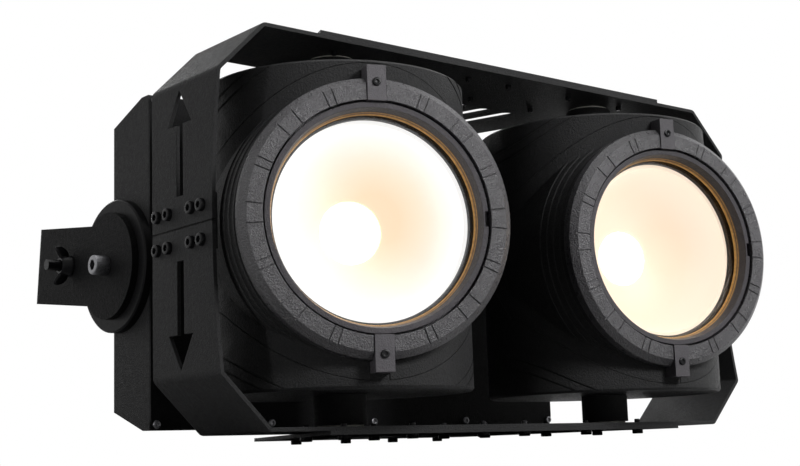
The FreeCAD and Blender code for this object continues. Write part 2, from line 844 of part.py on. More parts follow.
def make_display_window():
    body = new_body("display_window")
    sketch = new_sketch(body, "XZ_Plane", -COVER_REAR - s.display_proud)
    half, low = s.display_width / 2, s.display_rise - s.display_height / 2
    draw_box(sketch, -half, half, low, low + s.display_height)
    pad(body, sketch, s.display_thickness)
    place_on_frame(body)


def make_button(label, number):
    """Cap through the cover with a retaining flange behind it."""
    body = new_body(label)
    u, v = button_places()[number]
    back = COVER_REAR - s.cover_sheet - s.running_gap
    sketch = new_sketch(body, "XZ_Plane", -COVER_REAR - s.button_proud)
    draw_circle(sketch, u, v, s.button_radius)
    pad(body, sketch, s.button_proud + s.cover_sheet + s.running_gap)
    sketch = new_sketch(body, "XZ_Plane", -back)
    draw_circle(sketch, u, v, s.button_flange_radius)
    pad(body, sketch, s.button_flange)
    place_on_frame(body)


def make_socket(label, number):
    """Round panel socket: square flange and collar outside, barrel through the cover, bore open to the rear."""
    body = new_body(label)
    u, v = socket_places()[number]
    half_u, half_v = s.socket_width / 2, s.socket_height / 2
    sketch = new_sketch(body, "XZ_Plane", -COVER_REAR)
    draw_box(sketch, u - half_u, u + half_u, v - half_v, v + half_v)
    pad(body, sketch, s.socket_flange, True)
    rounded(body, s.socket_corner, lambda edge: runs_along(edge, 1))
    sketch = new_sketch(body, "XZ_Plane", -COVER_REAR - s.socket_flange)
    draw_circle(sketch, u, v, s.socket_collar_radius)
    pad(body, sketch, s.socket_collar, True)
    sketch = new_sketch(body, "XZ_Plane", -COVER_REAR)
    draw_circle(sketch, u, v, s.socket_barrel_radius)
    pad(body, sketch, s.socket_barrel)
    mouth = COVER_REAR + s.socket_flange + s.socket_collar
    sketch = new_sketch(body, "XZ_Plane", -mouth - s.overrun)
    draw_circle(sketch, u, v, s.socket_bore_radius)
    cut(body, sketch, s.socket_bore_depth + s.overrun)
    place_on_frame(body)


# Tilt pivots and yoke

ARM_INNER = BOX_HALF + s.disc_thickness + s.running_gap
ARM_OUTER = ARM_INNER + s.yoke_sheet


def place_on_pivot(obj, axis=(0, 0, 1), angle=0):
    place(obj, 0, s.pivot_depth - s.frame_setback, STAND + MIDDLE, axis, angle)


def make_friction_disc(label, side):
    """Round plate between the box end and the yoke arm, turned with a small bevel at its rim."""
    body = new_body(label)
    start, end = BOX_HALF * side, (BOX_HALF + s.disc_thickness) * side
    bore = s.pivot_screw_radius + s.hole_clearance
    sketch = new_sketch(body, "XY_Plane")
    draw_outline(sketch, [(start, bore), (end, bore), (end, s.disc_radius - s.disc_edge),
                          (end - s.disc_edge * side, s.disc_radius), (start, s.disc_radius)])
    feature = turned(body, "Revolution", sketch)
    feature.ReferenceAxis = (sketch, ["H_Axis"])
    place_on_pivot(body)


def make_pivot_screws():
    """Socket cap screws that carry the yoke arms."""
    body = new_body("pivot_screws")
    length = ARM_OUTER + s.running_gap - BOX_HALF + s.cover_sheet + s.pivot_screw_tip
    for side in LAPS:
        face = (ARM_OUTER + s.running_gap) * side
        add_screws(body, "YZ_Plane", face, [(0, 0)], s.pivot_screw_radius, s.pivot_head_radius,
                   s.pivot_head_height, length, side < 0)
    for side in LAPS:
        top = ARM_OUTER + s.running_gap + s.pivot_head_height
        start = top - s.pivot_socket_depth if side > 0 else -top - s.overrun
        sketch = new_sketch(body, "YZ_Plane", start)
        draw_outline(sketch, hexagon(0, 0, s.pivot_socket_radius))
        cut(body, sketch, s.pivot_socket_depth + s.overrun)
    place_on_pivot(body)


def hexagon(u, v, radius):
    half = radius / 2
    rise = half * root(as_size(3))
    return [(u + radius, v), (u + half, v + rise), (u - half, v + rise),
            (u - radius, v), (u - half, v - rise), (u + half, v - rise)]


def make_yoke():
    """Flat bar bent to a U, with round ends at the pivots and clamp holes in the cross-bar."""
    body = new_body("yoke")
    sketch = new_sketch(body, "XY_Plane", -s.yoke_end_radius)
    front, reach, sheet_in = -s.yoke_end_radius, s.yoke_reach, s.yoke_reach - s.yoke_sheet
    draw_outline(sketch, [
        (-ARM_OUTER, front), (-ARM_INNER, front), (-ARM_INNER, sheet_in), (ARM_INNER, sheet_in),
        (ARM_INNER, front), (ARM_OUTER, front), (ARM_OUTER, reach), (-ARM_OUTER, reach),
    ])
    pad(body, sketch, s.yoke_end_radius * 2)

    def at_depth(edge, size):
        return runs_along(edge, 2) and near(edge.CenterOfMass.y, size)

    rounded(body, s.yoke_bend + s.yoke_sheet, lambda edge: at_depth(edge, reach))
    rounded(body, s.yoke_bend, lambda edge: at_depth(edge, sheet_in))
    half = s.yoke_width / 2
    join = root(s.yoke_end_radius * s.yoke_end_radius - half * half)
    sketch = new_sketch(body, "YZ_Plane", -ARM_OUTER - s.overrun)
    border = s.yoke_end_radius + s.overrun
    draw_box(sketch, -border, reach + s.overrun * 2, -border, border)
    draw_outline(sketch, [
        (join, half), (reach + s.overrun, half), (reach + s.overrun, -half),
        (join, -half, 0, 0, s.yoke_end_radius, -1),
    ])
    cut(body, sketch, (ARM_OUTER + s.overrun) * 2)
    sketch = new_sketch(body, "YZ_Plane", -ARM_OUTER - s.overrun)
    draw_circle(sketch, 0, 0, s.pivot_screw_radius + s.pivot_fit)
    draw_circle(sketch, s.yoke_bolt_place, 0, s.yoke_bolt_radius + s.hole_clearance)
    cut(body, sketch, (ARM_OUTER + s.overrun) * 2)
    sketch = new_sketch(body, "XZ_Plane", -reach - s.overrun)
    for step in (-1, 0, 1):
        draw_circle(sketch, s.clamp_hole_pitch * step, 0, s.clamp_hole_radius)
    cut(body, sketch, s.yoke_sheet + s.overrun * 2)
    place_on_pivot(body, (1, 0, 0), s.yoke_tilt)


def make_yoke_bolts():
    """Hexagon bolts through the arms, heads inside."""
    body = new_body("yoke_bolts")
    across = s.yoke_bolt_flats / root(as_size(3))
    for side in LAPS:
        sketch = new_sketch(body, "YZ_Plane", ARM_INNER * side)
        draw_outline(sketch, hexagon(s.yoke_bolt_place, 0, across))
        pad(body, sketch, s.yoke_bolt_head, side > 0)
        sketch = new_sketch(body, "YZ_Plane", ARM_INNER * side)
        draw_circle(sketch, s.yoke_bolt_place, 0, s.yoke_bolt_radius)
        pad(body, sketch, s.yoke_sheet + s.yoke_bolt_stud, side < 0)
    place_on_pivot(body, (1, 0, 0), s.yoke_tilt)


def make_wing_nut(label, side):
    """Conical hub with two ears, standing on the arm's outer face."""
    body = new_body(label)
    bore = s.yoke_bolt_radius + s.pivot_fit
    seat = ARM_OUTER + s.running_gap
    depth = s.yoke_bolt_place
    sketch = new_sketch(body, "XZ_Plane")
    points = [(seat, bore), (seat, s.wing_hub_radius), (seat + s.wing_hub_height, s.wing_top_radius),
              (seat + s.wing_hub_height, bore)]
    draw_outline(sketch, [(u * side, v) for u, v in points])
    hub = turned(body, "Revolution", sketch)
    hub.ReferenceAxis = (sketch, ["H_Axis"])
    inner = s.yoke_bolt_radius + s.wing_thickness / 2
    tip = s.wing_span / 2
    ear = [(seat + s.wing_root, inner), (seat + s.wing_height - s.wing_tip, tip),
           (seat + s.wing_height, tip), (seat + s.wing_height, tip - s.wing_tip / 2),
           (seat + s.wing_hub_height - s.wing_tip / 4, inner)]
    sketch = new_sketch(body, "XZ_Plane", -s.wing_thickness / 2)
    for way in LAPS:
        draw_outline(sketch, [(u * side, v * way) for u, v in ear])
    pad(body, sketch, s.wing_thickness)
    tilt = s.yoke_tilt
    place(body, 0, s.pivot_depth - s.frame_setback + depth * cosine(tilt),
          STAND + MIDDLE + depth * sine(tilt), (1, 0, 0), tilt)


# Pods: each is drawn about its swivel axis at the height of its lens, facing -Y

DRUM_LOW = s.drum_bottom - s.lens_height
DRUM_HIGH = s.drum_top - s.lens_height
BELL_END_RADIUS = root(s.drum_radius * s.drum_radius - s.bell_end * s.bell_end)


class Pod:
    """One pod: its name, side and turn, and the functions that make its pieces."""

    def __init__(self, name, side, turn):
        self.name = name
        self.side = side
        self.turn = turn

    def body(self, piece):
        return new_body(f"{self.name}_{piece}")

    def place(self, obj):
        place(obj, s.pod_pitch / 2 * self.side, s.pod_depth - s.frame_setback, STAND + s.lens_height,
              (0, 0, 1), self.turn)


def lens_profile(sketch, points):
    """Draw (radius, distance forward) points for a turn about the lens axis."""
    draw_outline(sketch, [(radius, -as_size(forward)) for radius, forward in points])


def make_barrel(label, radius):
    """Plain cylinder about the swivel axis, as tall as the drum."""
    barrel = doc.addObject("Part::Cylinder", label)
    barrel.setExpression("Radius", radius.text)
    barrel.setExpression("Height", (s.drum_top - s.drum_bottom).text)
    barrel.setExpression("Placement.Base.z", DRUM_LOW.text)
    return barrel


def boolean(kind, label, base, tool):
    """Part::Cut, Part::Common or Part::Fuse of two objects."""
    result = doc.addObject(kind, label)
    result.Label = label
    result.Base = base
    result.Tool = tool
    return result


def drum_skin(label, outer, inner):
    """The layer of the drum between two radii."""
    return boolean("Part::Cut", label, make_barrel(label + "_outer", outer), make_barrel(label + "_inner", inner))


def make_housing(pod):
    """Upright hollow drum with flat ends, opened at the front for the bell. Fine grooves run round the
    opening at two radii about the lens axis, as deep as the ridge depth all along the curved side."""
    name = f"{pod.name}_housing"
    body = new_body(name + "_drum")
    sketch = new_sketch(body, "XZ_Plane")
    outer, inner, edge, wall = s.drum_radius, s.drum_radius - s.drum_wall, s.drum_edge, s.drum_wall
    bore = s.pod_bolt_radius + s.hole_clearance
    draw_outline(sketch, [
        (bore, DRUM_LOW), (outer - edge, DRUM_LOW), (outer, DRUM_LOW + edge), (outer, DRUM_HIGH - edge),
        (outer - edge, DRUM_HIGH), (bore, DRUM_HIGH), (bore, DRUM_HIGH - wall), (inner, DRUM_HIGH - wall),
        (inner, DRUM_LOW + wall), (bore, DRUM_LOW + wall),
    ])
    turned(body, "Revolution", sketch)
    sketch = new_sketch(body, "XY_Plane")
    gap = s.bell_clearance
    reach = s.drum_radius + s.overrun
    lens_profile(sketch, [
        (0, reach), (s.seam_radius, reach), (s.seam_radius, s.bell_collar_rear),
        (BELL_END_RADIUS + gap, -s.bell_end), (0, -s.bell_end),
    ])
    turned(body, "Groove", sketch)
    rings = new_body(name + "_rings")
    sketch = new_sketch(rings, "XY_Plane")
    for step in (s.ridge_near, s.ridge_far):
        low, high = s.seam_radius + step, s.seam_radius + step + s.ridge_width
        lens_profile(sketch, [(low, 0), (high, 0), (high, reach), (low, reach)])
    turned(rings, "Revolution", sketch)
    skin = drum_skin(name + "_skin", s.drum_radius + s.overrun, s.drum_radius - s.ridge_depth)
    grooves = boolean("Part::Common", name + "_grooves", rings, skin)
    pod.place(boolean("Part::Cut", name, body, grooves))


def flare_points():
    """Outer line of the flare from front to rear: a cone broken by small steps."""
    depth = (s.bell_front - s.bell_flare_rear) / BELL_STEPS
    rise = (s.bell_radius - s.bell_front_radius) / BELL_STEPS
    points = []
    for number in range(BELL_STEPS):
        points.append((s.bell_front_radius + rise * number, s.bell_front - depth * number))
        points.append((s.bell_front_radius + rise * (number + 1) - s.bell_ridge,
                       s.bell_front - depth * (number + 1)))
    points.append((s.bell_radius, s.bell_flare_rear))
    return points


def make_bell(pod):
    """Stepped flare with a cup for ring and lens and a collar that closes on the drum's sides, joined by a
    shoulder that lies flush in the drum's curved surface and is open at the clips."""
    name = f"{pod.name}_bell"
    body = new_body(name + "_flare")
    sketch = new_sketch(body, "XY_Plane")
    wall, gap = s.bell_wall, s.bell_clearance
    cup = s.bell_front_radius - s.bell_rim
    back = s.bell_floor - s.bell_floor_sheet
    slope = (s.bell_radius - s.bell_front_radius) / (s.bell_front - s.bell_flare_rear)
    room = s.bell_front_radius - wall - s.bell_ridge + (s.bell_front - back) * slope
    lens_profile(sketch, flare_points() + [
        (s.bell_radius, s.bell_collar_rear), (BELL_END_RADIUS, -s.bell_end),
        (BELL_END_RADIUS - wall, -s.bell_end), (s.bell_radius - wall, s.bell_collar_rear),
        (s.bell_radius - wall, s.bell_flare_rear), (room, back), (s.bell_mouth_radius, back),
        (s.bell_mouth_radius, s.bell_floor), (cup, s.bell_floor), (cup, s.bell_front),
    ])
    turned(body, "Revolution", sketch)
    blank = new_body(name + "_blank")
    sketch = new_sketch(blank, "XY_Plane")
    reach = s.drum_radius + s.overrun
    mouth, edge = s.ring_radius + gap, s.seam_radius - gap
    lens_profile(sketch, [
        (mouth, reach), (edge, reach), (edge, s.bell_collar_rear), (BELL_END_RADIUS, -s.bell_end),
        (BELL_END_RADIUS - wall, -s.bell_end), (s.bell_radius - wall, s.bell_collar_rear),
        (s.bell_radius - wall, s.bell_flare_rear), (s.bell_front_radius - wall / 2, s.bell_front - gap),
        (mouth, s.bell_front - gap),
    ])
    turned(blank, "Revolution", sketch)
    sketch = new_sketch(blank, "XZ_Plane", s.bell_flare_rear)
    half = s.clip_width / 2 + s.clip_slot_clearance
    for way in LAPS:
        draw_box(sketch, -half, half, (s.ring_radius - s.overrun) * way, (s.seam_radius + s.overrun) * way)
    cut(blank, sketch, reach)
    skin = drum_skin(name + "_skin", s.drum_radius, s.drum_radius - wall)
    shoulder = boolean("Part::Common", name + "_shoulder", blank, skin)
    bell = boolean("Part::Fuse", name, body, shoulder)
    bell.Refine = True
    pod.place(bell)


def radial_box(sketch, turn, half, low, high):
    """Narrow rectangle that runs outwards from the axis at an angle."""
    along = (cosine(turn), sine(turn))
    corners = [(low, -half), (high, -half), (high, half), (low, half)]
    draw_outline(sketch, [(out * along[0] - side * along[1], out * along[1] + side * along[0])
                          for out, side in corners])


def make_ring(pod):
    """Ring with a bevelled front, thin radial grooves round its blocks, and slots for the clips."""
    body = pod.body("front_ring")
    sketch = new_sketch(body, "XY_Plane")
    seat = s.bell_front + s.seat_gap
    low = s.bell_floor + s.seat_gap
    spigot = s.bell_front_radius - s.bell_rim - s.seat_gap
    lip = s.ring_bore_radius - s.ring_lip
    lens_profile(sketch, [
        (s.ring_radius, seat), (s.ring_radius, s.ring_front - s.ring_bevel),
        (s.ring_radius - s.ring_bevel, s.ring_front), (s.ring_bore_radius, s.ring_front),
        (s.ring_bore_radius, s.ring_lip_depth), (lip, s.ring_lip_depth), (lip, low), (spigot, low),
        (spigot, seat),
    ])
    turned(body, "Revolution", sketch)
    sketch = new_sketch(body, "XZ_Plane", s.ring_front - s.ring_groove_depth)
    half_step = as_size(180 / RING_SEGMENTS)
    turns = (s.ring_wide_turn, -s.ring_wide_turn, half_step + s.ring_narrow_turn,
             half_step - s.ring_narrow_turn)
    for turn in turns:
        radial_box(sketch, turn, s.ring_groove / 2, s.ring_bore_radius - s.ring_lip, s.ring_radius)
    groove = cut(body, sketch, s.ring_groove_depth + s.overrun)
    repeated(body, groove, sketch, "N_Axis", RING_SEGMENTS)
    slot = s.clip_width / 2 + s.clip_slot_clearance
    floor = s.ring_front + s.clip_proud - s.clip_arm - s.seat_gap
    sketch = new_sketch(body, "XZ_Plane", floor)
    for way in LAPS:
        low_v, high_v = (s.clip_foot_radius - s.overrun) * way, (s.ring_radius + s.overrun) * way
        draw_box(sketch, -slot, slot, low_v, high_v)
    cut(body, sketch, s.clip_arm + s.overrun)
    depth = s.clip_screw_length - s.clip_arm + s.seat_gap
    sketch = new_sketch(body, "XZ_Plane", floor - depth)
    for way in LAPS:
        draw_circle(sketch, 0, s.clip_screw_place * way, s.clip_screw_radius + s.hole_clearance)
    cut(body, sketch, depth + s.overrun)
    pod.place(body)


def make_bezel(pod):
    """Stepped ring in front of the lens, with a notch in its outer edge."""
    body = pod.body("bezel")
    sketch = new_sketch(body, "XY_Plane")
    seat = s.bell_floor + s.lens_thickness + s.seat_gap * 2
    lens_profile(sketch, [
        (s.bezel_bore_radius, seat), (s.bezel_radius, seat), (s.bezel_radius, s.bezel_front),
        (s.bezel_inner_radius, s.bezel_front), (s.bezel_inner_radius - s.bezel_edge, s.bezel_step_depth),
        (s.bezel_bore_radius, seat + s.bezel_edge),
    ])
    turned(body, "Revolution", sketch)
    sketch = new_sketch(body, "XZ_Plane", s.bezel_front - s.bezel_notch_depth)
    half = s.bezel_notch / 2
    draw_box(sketch, s.bezel_inner_radius + s.bezel_edge, s.bezel_radius + s.overrun, -half, half)
    cut(body, sketch, s.bezel_notch_depth + s.overrun)
    pod.place(body)


def make_lens(pod):
    body = pod.body("lens")
    sketch = new_sketch(body, "XZ_Plane", s.bell_floor + s.seat_gap)
    draw_circle(sketch, 0, 0, s.lens_radius)
    pad(body, sketch, s.lens_thickness)
    pod.place(body)


def make_reflector(pod):
    """Thin curved bowl with a flat rim behind the bell's floor and an open rear end."""
    body = pod.body("reflector")
    sketch = new_sketch(body, "XY_Plane")
    rear, wall, curve = s.reflector_rear, s.reflector_wall, s.reflector_curve
    front = s.bell_floor - s.bell_floor_sheet - s.seat_gap
    shoulder = front - s.reflector_rim
    inner = arc_edge(s.reflector_rear_radius, rear, s.reflector_front_radius, front, curve)
    outer = arc_edge(s.reflector_rear_radius + wall, rear, s.reflector_front_radius + wall, shoulder, curve)
    draw_outline(sketch, [
        (s.reflector_rear_radius, -rear) + inner + (1,),
        (s.reflector_front_radius, -front), (s.reflector_rim_radius, -front),
        (s.reflector_rim_radius, -shoulder),
        (s.reflector_front_radius + wall, -shoulder) + outer + (-1,),
        (s.reflector_rear_radius + wall, -rear),
    ])
    turned(body, "Revolution", sketch)
    pod.place(body)


def arc_edge(rear_radius, rear, front_radius, front, curve):
    """Centre and radius of the arc that bulges outwards between the two ends of the bowl."""
    chord_u, chord_v = front_radius - rear_radius, rear - front
    chord = root(chord_u * chord_u + chord_v * chord_v)
    height = root(curve * curve - chord * chord / 4)
    middle_u, middle_v = (rear_radius + front_radius) / 2, -(rear + front) / 2
    return (middle_u - height * chord_v / chord, middle_v + height * chord_u / chord, curve)


def make_led_module(pod):
    body = pod.body("led_module")
    sketch = new_sketch(body, "XY_Plane")
    face = s.reflector_rear - s.seat_gap
    step = face - s.emitter_thickness
    back = step - s.module_thickness
    lens_profile(sketch, [(0, back), (s.module_radius, back), (s.module_radius, step),
                          (s.emitter_radius, step), (s.emitter_radius, face), (0, face)])
    turned(body, "Revolution", sketch)
    pod.place(body)


def make_heat_sink(pod):
    """Round base with upright fins behind it and four pillars that carry it on the bell's floor."""
    body = pod.body("heat_sink")
    face = s.reflector_rear - s.seat_gap - s.emitter_thickness - s.module_thickness
    back = face - s.sink_base
    sketch = new_sketch(body, "XZ_Plane", back)
    draw_circle(sketch, 0, 0, s.sink_radius)
    pad(body, sketch, s.sink_base)
    sketch = new_sketch(body, "XZ_Plane", back)
    half = s.sink_half
    for number in range(FIN_COUNT):
        middle = s.fin_pitch * (number - (FIN_COUNT - 1) / 2)
        draw_box(sketch, middle - s.fin_thickness / 2, middle + s.fin_thickness / 2, -half, half)
    pad(body, sketch, s.sink_depth, True)
    sketch = new_sketch(body, "XZ_Plane", face)
    reach = s.pillar_place / root(as_size(2))
    for side in LAPS:
        for way in LAPS:
            draw_circle(sketch, reach * side, reach * way, s.pillar_radius)
    pad(body, sketch, s.bell_floor - s.bell_floor_sheet - s.seat_gap - face)
    pod.place(body)


def make_clips(pod):
    """Blocks over and under the ring: an arm in the ring's slot and a root that follows the flare."""
    body = pod.body("clips")
    sketch = new_sketch(body, "YZ_Plane", -s.clip_width / 2)
    slope = (s.bell_radius - s.bell_front_radius) / (s.bell_front - s.bell_flare_rear)
    gap = s.bell_clearance
    front = s.ring_front + s.clip_proud
    back = front - s.clip_arm
    outside = s.ring_radius + gap
    root_front = s.bell_front - s.seat_gap
    profile = [
        (front, s.clip_foot_radius), (front, s.clip_top_radius), (s.clip_rear, s.clip_top_radius),
        (s.clip_rear, s.bell_front_radius + (s.bell_front - s.clip_rear) * slope + gap),
        (root_front, outside), (back, outside), (back, s.clip_foot_radius),
    ]
    for way in LAPS:
        draw_outline(sketch, [(-forward, rise * way) for forward, rise in profile])
    pad(body, sketch, s.clip_width)
    sketch = new_sketch(body, "XZ_Plane", back - s.overrun / 2)
    for way in LAPS:
        draw_circle(sketch, 0, s.clip_screw_place * way, s.clip_screw_radius + s.hole_clearance)
    cut(body, sketch, s.clip_arm + s.overrun)
    pod.place(body)


def make_clip_screws(pod):
    body = pod.body("clip_screws")
    places = [(0, s.clip_screw_place * way) for way in LAPS]
    add_screws(body, "XZ_Plane", s.ring_front + s.clip_proud, places, s.clip_screw_radius,
               s.clip_screw_head_radius, s.clip_screw_head, s.clip_screw_length, False)
    pod.place(body)


BAND_HIGH = s.frame_height - s.frame_sheet - s.lens_height
BAND_LOW = s.frame_sheet - s.lens_height
WASHER_REACH = s.running_gap + s.washer_thickness


def stack(body, levels, radius, bore):
    """Tubes about the swivel axis between pairs of levels."""
    for low, high in levels:
        sketch = new_sketch(body, "XY_Plane", low)
        draw_circle(sketch, 0, 0, radius)
        draw_circle(sketch, 0, 0, bore)
        pad(body, sketch, high - low)


def make_posts(pod):
    body = pod.body("posts")
    levels = [(DRUM_HIGH, BAND_HIGH - WASHER_REACH), (BAND_LOW + WASHER_REACH, DRUM_LOW)]
    stack(body, levels, s.post_radius, s.pod_bolt_radius + s.hole_clearance)
    pod.place(body)


def make_washers(pod):
    body = pod.body("washers")
    levels = [(BAND_HIGH - WASHER_REACH, BAND_HIGH - s.running_gap),
              (BAND_LOW + s.running_gap, BAND_LOW + WASHER_REACH)]
    stack(body, levels, s.washer_radius, s.pod_bolt_radius + s.hole_clearance)
    pod.place(body)


def make_pivot_bolts(pod):
    """Low-headed bolts through band and post into the drum."""
    body = pod.body("pivot_bolts")
    high = BAND_HIGH + s.frame_sheet + s.seat_gap
    low = BAND_LOW - s.frame_sheet - s.seat_gap
    for face, end, below in ((high, DRUM_HIGH, False), (low, DRUM_LOW, True)):
        reach = end - face if below else face - end
        add_screws(body, "XY_Plane", face, [(0, 0)], s.pod_bolt_radius, s.pod_bolt_head_radius,
                   s.pod_bolt_head, reach + s.drum_wall, below)
    pod.place(body)


def make_pod(pod):
    for make in (make_housing, make_bell, make_ring, make_bezel, make_lens, make_reflector, make_led_module,
                 make_heat_sink, make_clips, make_clip_screws, make_posts, make_washers, make_pivot_bolts):
        make(pod)


def make_everything():
    make_half("frame_lower", -1)
    make_half("frame_upper", 1)
    make_splice_plate("splice_plate_left", -1)
    make_splice_plate("splice_plate_right", 1)
    make_splice_screws()
    make_link_plate("link_plate_bottom", -s.link_sheet)
    make_link_plate("link_plate_top", s.frame_height)
    make_link_screws()
    make_box_bushes()
    make_box_screws()
    make_chassis_plate()
    make_rear_cover()
    make_cover_screws()
    make_power_supply()
    make_driver_board()
    make_display_window()
    for number, name in enumerate(("button_menu", "button_down", "button_up", "button_enter")):
        make_button(name, number)
    for number, name in enumerate(("power_inlet", "power_outlet", "data_input", "data_output")):
        make_socket(name, number)
    make_friction_disc("friction_disc_left", -1)
    make_friction_disc("friction_disc_right", 1)
    make_pivot_screws()
    make_yoke()
    make_yoke_bolts()
    make_wing_nut("wing_nut_left", -1)
    make_wing_nut("wing_nut_right", 1)
    make_pod(Pod("pod_left", -1, s.left_turn))
    make_pod(Pod("pod_right", 1, s.right_turn))


def check_and_write():
    doc.recompute()
    for obj in doc.Objects:
        if "Invalid" in obj.State or "Error" in obj.State:
            raise RuntimeError(f"{obj.Label} is {obj.State}")
    for node in nodes:
        if node.Shape.isNull() or not node.Shape.isValid():
            raise RuntimeError(f"{node.Label} has no valid shape")
    os.makedirs("parts", exist_ok=True)
    for node in nodes:
        node.Shape.exportStep(f"parts/{node.Label}.step")
        print(f"{node.Label}: {len(node.Shape.Solids)} solids, {node.Shape.Volume:.0f} mm3")


make_everything()
check_and_write()
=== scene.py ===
# %% [markdown]
# # Dressing a two-pod stage blinder
# The solids are already made. This lesson gives them their looks: powder coat on folded
# sheet, fine-textured mouldings, round lenses that glow, and small screws with real sockets.
# Everything is in metres, in the frame of the solids: X to the right, Y to the rear, Z up.

# %% Load the solids
import json
import math

import bmesh
import bpy
import numpy as np
from mathutils import Matrix, Vector


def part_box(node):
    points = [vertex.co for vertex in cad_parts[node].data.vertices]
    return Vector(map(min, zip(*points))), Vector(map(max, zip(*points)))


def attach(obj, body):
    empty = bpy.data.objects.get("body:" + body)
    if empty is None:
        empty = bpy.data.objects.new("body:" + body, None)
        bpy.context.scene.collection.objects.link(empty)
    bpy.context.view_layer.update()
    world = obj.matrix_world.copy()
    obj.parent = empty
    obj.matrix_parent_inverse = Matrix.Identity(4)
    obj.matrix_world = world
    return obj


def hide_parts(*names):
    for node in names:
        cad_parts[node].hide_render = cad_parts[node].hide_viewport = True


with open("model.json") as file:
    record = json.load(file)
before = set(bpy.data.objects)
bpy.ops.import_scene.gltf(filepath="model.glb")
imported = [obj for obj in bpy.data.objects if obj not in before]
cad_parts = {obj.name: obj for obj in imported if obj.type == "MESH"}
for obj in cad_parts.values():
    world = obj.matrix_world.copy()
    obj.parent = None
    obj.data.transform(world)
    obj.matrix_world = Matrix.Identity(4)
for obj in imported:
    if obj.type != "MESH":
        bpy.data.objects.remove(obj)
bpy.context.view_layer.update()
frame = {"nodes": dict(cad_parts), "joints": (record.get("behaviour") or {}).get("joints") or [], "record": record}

# %% [markdown]
# ## The camera
# The portrait is taken from the front left and from a little below, as the light is seen from the
# floor. A camera is a place, three directions and a focal length. The three directions are worked
# out from two angles and a small roll, and become the columns of its matrix.

# %% Camera
FRAME_PIXELS = 800
FOCAL_PIXELS = 1378.2
SENSOR_WIDTH = 36.0
CAMERA_PLACE = (-0.6629, -0.80966, -0.0118)
azimuth, elevation, roll = (math.radians(degrees) for degrees in (39.44, 9.24, -1.92))

ahead = np.array([math.sin(azimuth) * math.cos(elevation), math.cos(azimuth) * math.cos(elevation),
                  math.sin(elevation)])
level = np.array([math.cos(azimuth), -math.sin(azimuth), 0.0])
upright = np.cross(level, ahead)
right = level * math.cos(roll) + upright * math.sin(roll)
up = upright * math.cos(roll) - level * math.sin(roll)

portrait = bpy.data.cameras.new("portrait")
portrait.sensor_width = SENSOR_WIDTH
portrait.lens = SENSOR_WIDTH * FOCAL_PIXELS / FRAME_PIXELS
camera = bpy.data.objects.new("portrait", portrait)
columns = np.column_stack([right, up, -ahead, CAMERA_PLACE])
camera.matrix_world = Matrix([*columns.tolist(), [0, 0, 0, 1]])
bpy.context.scene.collection.objects.link(camera)
bpy.context.scene.camera = camera
bpy.context.scene.view_settings.view_transform = "Standard"
print("lens", round(portrait.lens, 2), "mm")

# %% [markdown]
# ## Finishes from nodes
# A finish is a small network: coordinates go into a noise, the noise into a colour and a bump, and
# both into the shader. Object coordinates are used, so a pattern stays on its piece when it moves.
# Drawn by hand such a network fills a screen. One helper adds a node and joins its inputs, which keeps
# each recipe to a few lines.

